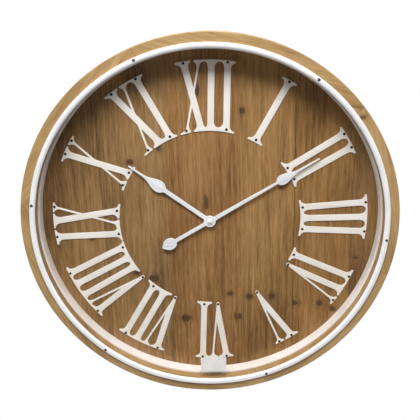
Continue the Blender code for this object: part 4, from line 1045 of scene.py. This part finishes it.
def screw_head(radius):
    """A pan head with a cross recess."""
    profile = [(0, -0.4), (1, -0.4), (1, 0.12), (0.9, 0.3), (0.6, 0.42), (0, 0.46)]
    shape = revolved([(r * radius, d * radius) for r, d in profile], 24)
    arm = 0.56 * radius
    slot = 0.11 * radius
    floor = 0.05 * radius
    for half_x, half_y in ((arm, slot), (slot, arm)):
        cutter = block((-half_x, -half_y, floor), (half_x, half_y, radius))
        shape = carved(shape, cutter)
    return shape


def fastener_tree():
    """Geometry nodes that set one head on every point, each turned its own way."""
    tree = bpy.data.node_groups.new("heads_on_points", "GeometryNodeTree")
    sockets = {}
    for label, kind, way in (
        ("Geometry", "NodeSocketGeometry", "INPUT"),
        ("Head", "NodeSocketObject", "INPUT"),
        ("Head Scale", "NodeSocketFloat", "INPUT"),
        ("Turn Seed", "NodeSocketInt", "INPUT"),
        ("Finish", "NodeSocketMaterial", "INPUT"),
        ("Geometry", "NodeSocketGeometry", "OUTPUT"),
    ):
        sockets[label, way] = tree.interface.new_socket(label, in_out=way, socket_type=kind)
    given = add(tree, "NodeGroupInput").outputs
    turn = add(tree, "FunctionNodeRandomValue", {"Seed": given["Turn Seed"]}, data_type="FLOAT")
    turn.inputs[2].default_value = 0.0
    turn.inputs[3].default_value = math.tau
    spin = add(tree, "ShaderNodeCombineXYZ", {"Z": turn.outputs[1]})
    rotation = add(tree, "FunctionNodeEulerToRotation", {0: spin.outputs[0]})
    head = add(tree, "GeometryNodeObjectInfo", {"Object": given["Head"]})
    heads = add(
        tree, "GeometryNodeInstanceOnPoints",
        {"Points": given["Geometry"], "Instance": head.outputs["Geometry"],
         "Rotation": rotation.outputs[0], "Scale": given["Head Scale"]},
    )
    real = add(tree, "GeometryNodeRealizeInstances", {"Geometry": heads.outputs[0]})
    painted = add(
        tree, "GeometryNodeSetMaterial", {"Geometry": real.outputs[0], "Material": given["Finish"]}
    )
    add(tree, "NodeGroupOutput", {"Geometry": painted.outputs[0]})
    return tree, {label: socket.identifier for (label, way), socket in sockets.items() if way == "INPUT"}


HEAD_TREE, HEAD_SOCKETS = fastener_tree()


def fasteners(name, head, places, finish, seed, behind=False):
    """One piece of several heads at (x, y, d), facing the reader, or the wall if behind."""
    if behind:
        bmesh.ops.rotate(head, verts=head.verts, matrix=Matrix.Rotation(math.pi, 3, "X"))
    mesh = bpy.data.meshes.new(name + "_head")
    head.to_mesh(mesh)
    head.free()
    one = bpy.data.objects.new(name + "_head", mesh)
    points = bpy.data.meshes.new(name + "_points")
    points.from_pydata(places, [], [])
    holder = bpy.data.objects.new(name + "_points", points)
    for item in (one, holder):
        bpy.context.scene.collection.objects.link(item)
    step = holder.modifiers.new("heads", "NODES")
    step.node_group = HEAD_TREE
    values = {"Head": one, "Head Scale": 1.0, "Turn Seed": seed, "Finish": finish}
    for label, value in values.items():
        step[HEAD_SOCKETS[label]] = value
    graph = bpy.context.evaluated_depsgraph_get()
    made = bpy.data.meshes.new_from_object(holder.evaluated_get(graph))
    shape = bmesh.new()
    shape.from_mesh(made)
    for mesh_used in (mesh, points, made):
        bpy.data.meshes.remove(mesh_used)
    piece(name, shape, finish)


def make_fasteners():
    """The nails in the numerals, and the screws in the ring and the battens."""
    inner, outer = reach("numeral_1")
    front = depths("numeral_1")[1]
    places = []
    for hour, feet in NAILS.items():
        for radius, offsets in zip((outer - NAIL_FROM_OUTSIDE, inner + NAIL_FROM_INSIDE), feet):
            for offset in offsets:
                up = math.sqrt(radius**2 - (offset * MM) ** 2)
                places.append((*on_dial(30 * hour, up, offset * MM), front))
    fasteners("numeral_nails", nail_head(), places, FINISH["black_steel"], 5)

    inner, outer = reach("bezel_ring")
    front = depths("bezel_ring")[1] - 0.3 * MM
    places = [(*on_dial(angle, inner + BEZEL_SCREW_FROM_INSIDE), front) for angle in BEZEL_SCREW_ANGLES]
    fasteners("bezel_screws", screw_head(BEZEL_SCREW_RADIUS), places, FINISH["black_steel"], 8)

    places = []
    for name in ("upper", "lower"):
        low, high = span(f"back_batten_{name}")
        for number in range(1, 7):
            board_low, board_high = span(f"dial_plank_{number}")
            left = max(board_low.x, low.x)
            right = min(board_high.x, high.x)
            for share, height in ((0.28, 0.3), (0.72, 0.7)):
                x = left + (right - left) * share
                places.append((x, low.y + (high.y - low.y) * height, low.z))
    head = screw_head(BACK_SCREW_RADIUS)
    fasteners("batten_screws", head, places, FINISH["zinc"], 3, behind=True)


# ---- Hanging ----------------------------------------------------------------------------------------
def make_hanging():
    """A zinc-plated keyhole plate let in flush with two countersunk screws, and two rubber feet."""
    low, high = span("hanger_plate")
    outlines = front_outlines("hanger_plate")
    keyhole = softened(min(outlines, key=lambda o: max(x for x, y in o) - min(x for x, y in o)))
    corners = ((low.x, low.y), (high.x, low.y), (high.x, high.y), (low.x, high.y))
    outside = filleted([(x, y, 3 * MM) for x, y in corners])
    middle = (low.y + high.y) / 2
    screws = [(side * 26 * MM, middle) for side in (-1, 1)]
    holes = [ring_outline(BACK_SCREW_RADIUS + 0.3 * MM, 24, screw) for screw in screws]
    shape = plate([outside, keyhole, *holes], low.z, high.z, 0.3 * MM)
    piece("keyhole_hanger", shape, FINISH["zinc"], stands_for=["hanger_plate"])
    head = screw_head(BACK_SCREW_RADIUS)
    places = [(x, y, BACK_SCREW_RADIUS * 0.46 + 0.05 * MM) for x, y in screws]
    fasteners("hanger_screws", head, places, FINISH["zinc"], 4, behind=True)

    for side in ("right", "left"):
        node = f"wall_bumper_{side}"
        radius = radius_of(node)
        back, front = depths(node)
        profile = filleted((
            (radius, front, 0.2 * MM), (0.01 * MM, front, 0), (0.01 * MM, back + 0.6 * MM, 0),
            (radius * 0.5, back + 0.6 * MM, 0.3 * MM), (radius * 0.6, back, 0.3 * MM),
            (radius, back, 0.7 * MM),
        ))
        middle = middle_of(node)
        shape = moved(revolved(profile, 48), middle.x, middle.y)
        piece(f"rubber_foot_{side}", shape, FINISH["rubber"], stands_for=[node])


# ---- Movement ---------------------------------------------------------------------------------------
def drill(radius, low, high, middle=(0, 0)):
    """A round bar between two depths, to add or to cut with."""
    return moved(revolved([(0, low), (radius, low), (radius, high), (0, high)], 24), *middle)


def make_movement():
    """A quartz movement: a moulded case, its cover, a knob, and the cell in its bay."""
    wall = 1.2 * MM
    low, high = span("movement_case")
    cover_low, cover_high = span("movement_cover")
    bay_top = cover_low.y - GLASS_ROOM
    ceiling = high.z - wall
    bushing = reach("brass_washer")[0]
    room = block((low.x + wall, bay_top + wall, low.z - wall), (high.x - wall, high.y - wall, ceiling))
    bay = block((low.x + wall, low.y + wall, low.z - wall), (high.x - wall, bay_top, ceiling))
    hole = drill(bushing, ceiling - wall, high.z + wall)
    shape = carved(rounded_block(low, high, 1.1 * MM), room, bay, hole)
    middle_y = (low.y + wall + bay_top) / 2
    for side in (-1, 1):
        x = side * (high.x - 9 * MM)
        bars = [((x - 2 * MM, middle_y - 0.4 * MM), (x + 2 * MM, middle_y + 0.4 * MM))]
        if side > 0:
            bars.append(((x - 0.4 * MM, middle_y - 2 * MM), (x + 0.4 * MM, middle_y + 2 * MM)))
        for start, end in bars:
            added(shape, block((*start, ceiling - 0.4 * MM), (*end, ceiling + 0.1 * MM)))
        for y in (low.y + 8 * MM, high.y - 9 * MM):
            latch_low = Vector((side * high.x - 0.6 * MM, y - 3 * MM, low.z + 1 * MM))
            latch_high = latch_low + Vector((1.2 * MM, 6 * MM, 6 * MM))
            added(shape, rounded_block(latch_low, latch_high, 0.3 * MM, 2))
    piece("moulded_case", shape, FINISH["abs"], stands_for=["movement_case"])

    knob = axis_of("setting_knob_turn")
    shape = rounded_block(cover_low, cover_high, 0.4 * MM)
    shape = carved(shape, drill(1.85 * MM, cover_low.z - wall, cover_high.z + wall, knob))
    rib = 0.35 * MM
    face = cover_low.z
    added(shape, moved(revolved(filleted((
        (8.2 * MM, face - rib, 0.1 * MM), (8.2 * MM, face + rib, 0), (7.4 * MM, face + rib, 0),
        (7.4 * MM, face - rib, 0.1 * MM))), 48), *knob))
    for index in range(7):
        x = -23 * MM + index * 4 * MM
        rib_low, rib_high = (x, -8 * MM, face - rib), (x + 1 * MM, 22 * MM, face + rib)
        added(shape, rounded_block(rib_low, rib_high, 0.15 * MM, 1))
    for x, y in ((-24.5, 25), (24.5, 25), (24.5, -8.5), (-24.5, -8.7)):
        pin = [(1.4 * MM, face - rib), (1.4 * MM, face + rib), (0, face + rib), (0, face - rib)]
        added(shape, moved(revolved(pin, 16), x * MM, y * MM))
    piece("case_cover", shape, FINISH["abs"], stands_for=["movement_cover"])

    back, front = depths("setting_knob")
    disc_front = depths("movement_cover")[0] - 1 * MM
    radius = radius_of("setting_knob")
    flutes = []
    for index in range(120):
        dip = 0.3 * MM * (1 - math.cos(math.tau * index / 5)) / 2
        flutes.append(on_circle(radius - dip, -3 * index))
    shape = plate([flutes], back, disc_front, 0.25 * MM)
    grip_length, grip_width, grip_height = 5 * MM, 0.9 * MM, 0.7 * MM
    grip_low = (-grip_length, -grip_width, back - grip_height)
    grip_high = (grip_length, grip_width, back + 0.2 * MM)
    added(shape, rounded_block(grip_low, grip_high, 0.3 * MM))
    pinion_back = front - 1.9 * MM
    added(shape, drill(1.5 * MM, disc_front - 0.2 * MM, pinion_back + 0.2 * MM))
    moved(shape, *knob)
    added(shape, plate(front_outlines("setting_knob")[:1], pinion_back, front, 0.05 * MM, 1))
    piece("fluted_knob", shape, FINISH["abs"], "setting_knob", ["setting_knob"])


def make_battery():
    """An AA cell in plain printed film, and the two contacts that hold it."""
    low, high = span("battery")
    radius = (high.y - low.y) / 2
    nub = 1.2 * MM
    shoulder = high.x - nub
    lip = 0.35 * MM
    profile = filleted((
        (0, high.x, 0), (2.6 * MM, high.x, 0.5 * MM), (2.8 * MM, shoulder - lip, 0.2 * MM),
        (radius - 1.3 * MM, shoulder - lip, 0.2 * MM), (radius - 1 * MM, shoulder, 0.2 * MM),
        (radius, shoulder, 0.7 * MM), (radius, low.x, 0.7 * MM), (radius - 1.2 * MM, low.x, 0.3 * MM),
        (radius - 1.4 * MM, low.x + lip, 0.2 * MM), (0, low.x + lip, 0),
    ))
    shape = revolved(profile, 40)
    for face in shape.faces:
        middle = face.calc_center_median()
        face.material_index = 1 if math.hypot(middle.x, middle.y) < radius - 1.1 * MM else 0
    bmesh.ops.rotate(shape, verts=shape.verts, matrix=Matrix.Rotation(math.pi / 2, 3, "Y"))
    centre = middle_of("battery")
    moved(shape, 0, centre.y, centre.z)
    piece("plain_cell", shape, [FINISH["film"], FINISH["zinc"]], "battery", ["battery"])

    for name, inward in (("contact_positive", -1), ("contact_negative", 1)):
        low, high = span(name)
        shape = rounded_block(low, high, 0.12 * MM, 1)
        inner = high.x if inward > 0 else low.x
        if inward > 0:
            coil = []
            for step in range(3 * 16 + 1):
                share = step / 48
                turn = math.tau * 3 * share
                size = (4 - 2 * share) * MM
                coil.append((inner + share * 1.2 * MM, centre.y + size * math.cos(turn),
                             centre.z + size * math.sin(turn)))
            added(shape, tube(coil, 0.25 * MM, 8))
        else:
            dimple = revolved([(0, 0), (2 * MM, 0), (1.4 * MM, 0.25 * MM), (0, 0.35 * MM)], 20)
            bmesh.ops.rotate(dimple, verts=dimple.verts, matrix=Matrix.Rotation(-math.pi / 2, 3, "Y"))
            added(shape, moved(dimple, inner, centre.y, centre.z))
        piece(f"sprung_{name}", shape, FINISH["zinc"], stands_for=[name])


def make_bushing():
    """The threaded bushing with its washer and nut, which hold the movement to the dial."""
    back, front = depths("threaded_bushing")
    bore = reach("threaded_bushing")[0]
    flange = radius_of("threaded_bushing")
    outer = reach("brass_washer")[0] - GLASS_ROOM
    profile = [(bore, back), (flange, back), (flange, back + 1 * MM), (outer - 0.25 * MM, back + 1 * MM)]
    pitch = 0.75 * MM
    d = back + 2 * MM
    while d + pitch < front:
        profile += [(outer - 0.25 * MM, d), (outer, d + pitch / 2)]
        d += pitch
    profile += [(outer - 0.3 * MM, front), (bore, front)]
    shape = revolved(profile, 36)
    piece("brass_bushing", shape, FINISH["brass"], stands_for=["threaded_bushing"])

    inner, outer = reach("brass_washer")
    back, front = depths("brass_washer")
    profile = filleted([(inner, back, 0.1 * MM), (outer, back, 0.1 * MM), (outer, front, 0.25 * MM),
                        (inner, front, 0.1 * MM)])
    shape = revolved(profile, 48)
    piece("flat_washer", shape, FINISH["brass"], stands_for=["brass_washer"])

    inner, outer = reach("hex_nut")
    back, front = depths("hex_nut")
    hexagon = [on_circle(outer, 90 - 60 * i) for i in range(6)]
    shape = plate([hexagon, ring_outline(inner, 36)], back, front, 0.12 * MM)
    cone = revolved([
        (outer - 0.5 * MM, front + 1 * MM), (outer - 0.5 * MM, front),
        (outer + 1 * MM, front - 0.9 * MM), (outer + 1 * MM, front + 1 * MM),
    ], 48)
    piece("chamfered_nut", carved(shape, cone), FINISH["brass"], stands_for=["hex_nut"])


CAD_FINISHES = {
    "rubber": ("rubber_gasket",),
    "acetal": ("centre_wheel", "second_wheel", "first_wheel", "minute_wheel", "hour_wheel"),
    "brass": ("minute_arbor",),
    "magnet": ("rotor",),
    "zinc": ("stator", "coil_core"),
    "copper": ("coil",),
    "mask": ("circuit_board",),
}


def finish_inner_pieces():
    """The wheels and the motor, whose shapes are kept as they are."""
    for finish, nodes in CAD_FINISHES.items():
        for node in nodes:
            item = frame["nodes"][node]
            item.data.materials.clear()
            item.data.materials.append(FINISH[finish])


make_rim()
make_hoop()
make_dial()
make_liner()
make_front()
make_numerals()
make_hands()
make_fasteners()
make_hanging()
make_movement()
make_battery()
make_bushing()
finish_inner_pieces()


# ---- Camera, floor and light ------------------------------------------------------------------------
CAMERA_AT = (0.02436, -1.29813, 0.04836)
CAMERA_TURN = (71.823, 1.586, 0.534)
LENS_MM = 52.44
FLOOR_BELOW = 1.3       # metres
FLOOR_RADIUS = 1.8
FLOOR_SIDES = 72
SOFTBOXES = (
    # name, place, aim, width, height, watts
    ("overhead_softbox", (-0.1, -1.6, 2.0), (0, 0, -0.39), 2.2, 0.9, 102),
    ("front_softbox", (-1.3, -2.6, 0.5), (0, 0, -0.4), 2.2, 1.8, 4),
    ("rear_softbox", (-0.9, 2.4, 1.0), (0, 0, -0.4), 1.8, 1.4, 40),
)
SKY_AT_HORIZON = 0.04
SKY_OVERHEAD = 1.3


def make_camera():
    """A camera a little above the clock, slightly turned."""
    lens = bpy.data.cameras.new("camera")
    lens.lens = LENS_MM
    lens.sensor_width = 36
    camera = bpy.data.objects.new("camera", lens)
    camera.location = CAMERA_AT
    camera.rotation_euler = [math.radians(turn) for turn in CAMERA_TURN]
    bpy.context.scene.collection.objects.link(camera)
    bpy.context.scene.camera = camera


def make_floor():
    """Matt white paper, far enough below that the clock throws only a faint shade on it."""
    made, tree, shader = new_material("matt_white_paper", 0.95)
    place = add(tree, "ShaderNodeTexCoord").outputs["Object"]
    cloud = stretched_noise(tree, place, (1.5, 1.5, 1.5), 2).outputs["Fac"]
    tree.links.new(ramp(tree, cloud, ((0.3, "#F8F8F8"), (0.7, "#FBFBFB"))), shader.inputs["Base Color"])
    shader.inputs["Specular IOR Level"].default_value = 0.0
    level = cad_bounds[0].z - FLOOR_BELOW
    rim = [(*on_dial(-360 / FLOOR_SIDES * step, FLOOR_RADIUS), level) for step in range(FLOOR_SIDES)]
    mesh = bpy.data.meshes.new("floor")
    mesh.from_pydata(rim, [], [range(FLOOR_SIDES)])
    mesh.materials.append(made)
    floor = bpy.data.objects.new("floor", mesh)
    bpy.context.scene.collection.objects.link(floor)
    floor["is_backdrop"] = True


def make_light():
    """Three soft boxes in a pale room that is brightest overhead."""
    for name, place, aim, width, height, watts in SOFTBOXES:
        lamp = bpy.data.lights.new(name, "AREA")
        lamp.shape = "RECTANGLE"
        lamp.size = width
        lamp.size_y = height
        lamp.energy = watts
        item = bpy.data.objects.new(name, lamp)
        item.location = place
        item.rotation_euler = (Vector(aim) - Vector(place)).to_track_quat("-Z", "Y").to_euler()
        item.visible_camera = False
        bpy.context.scene.collection.objects.link(item)
    world = bpy.data.worlds.new("white_room")
    world.use_nodes = True
    bpy.context.scene.world = world
    tree = world.node_tree
    way = add(tree, "ShaderNodeTexCoord").outputs["Generated"]
    rise = add(tree, "ShaderNodeSeparateXYZ", {0: way}).outputs["Z"]
    above = add(tree, "ShaderNodeMath", {0: rise, 1: 0.0}, operation="MAXIMUM").outputs[0]
    square = add(tree, "ShaderNodeMath", {0: above, 1: 2.0}, operation="POWER").outputs[0]
    sky = add(
        tree, "ShaderNodeMapRange", {"Value": square, "To Min": SKY_AT_HORIZON, "To Max": SKY_OVERHEAD}
    ).outputs[0]
    path = add(tree, "ShaderNodeLightPath").outputs["Is Camera Ray"]
    strength = add(tree, "ShaderNodeMix", {"Factor": path, 2: sky, 3: 1.0}, data_type="FLOAT").outputs[0]
    tree.links.new(strength, tree.nodes["Background"].inputs["Strength"])
    tree.nodes["Background"].inputs["Color"].default_value = (1, 1, 1, 1)
    bpy.context.scene.view_settings.view_transform = "Standard"


make_camera()
make_floor()
make_light()

visual_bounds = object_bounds()
boxes = {"cad": cad_bounds, "visual": visual_bounds}
{label: [list(corner) for corner in box] for label, box in boxes.items()}
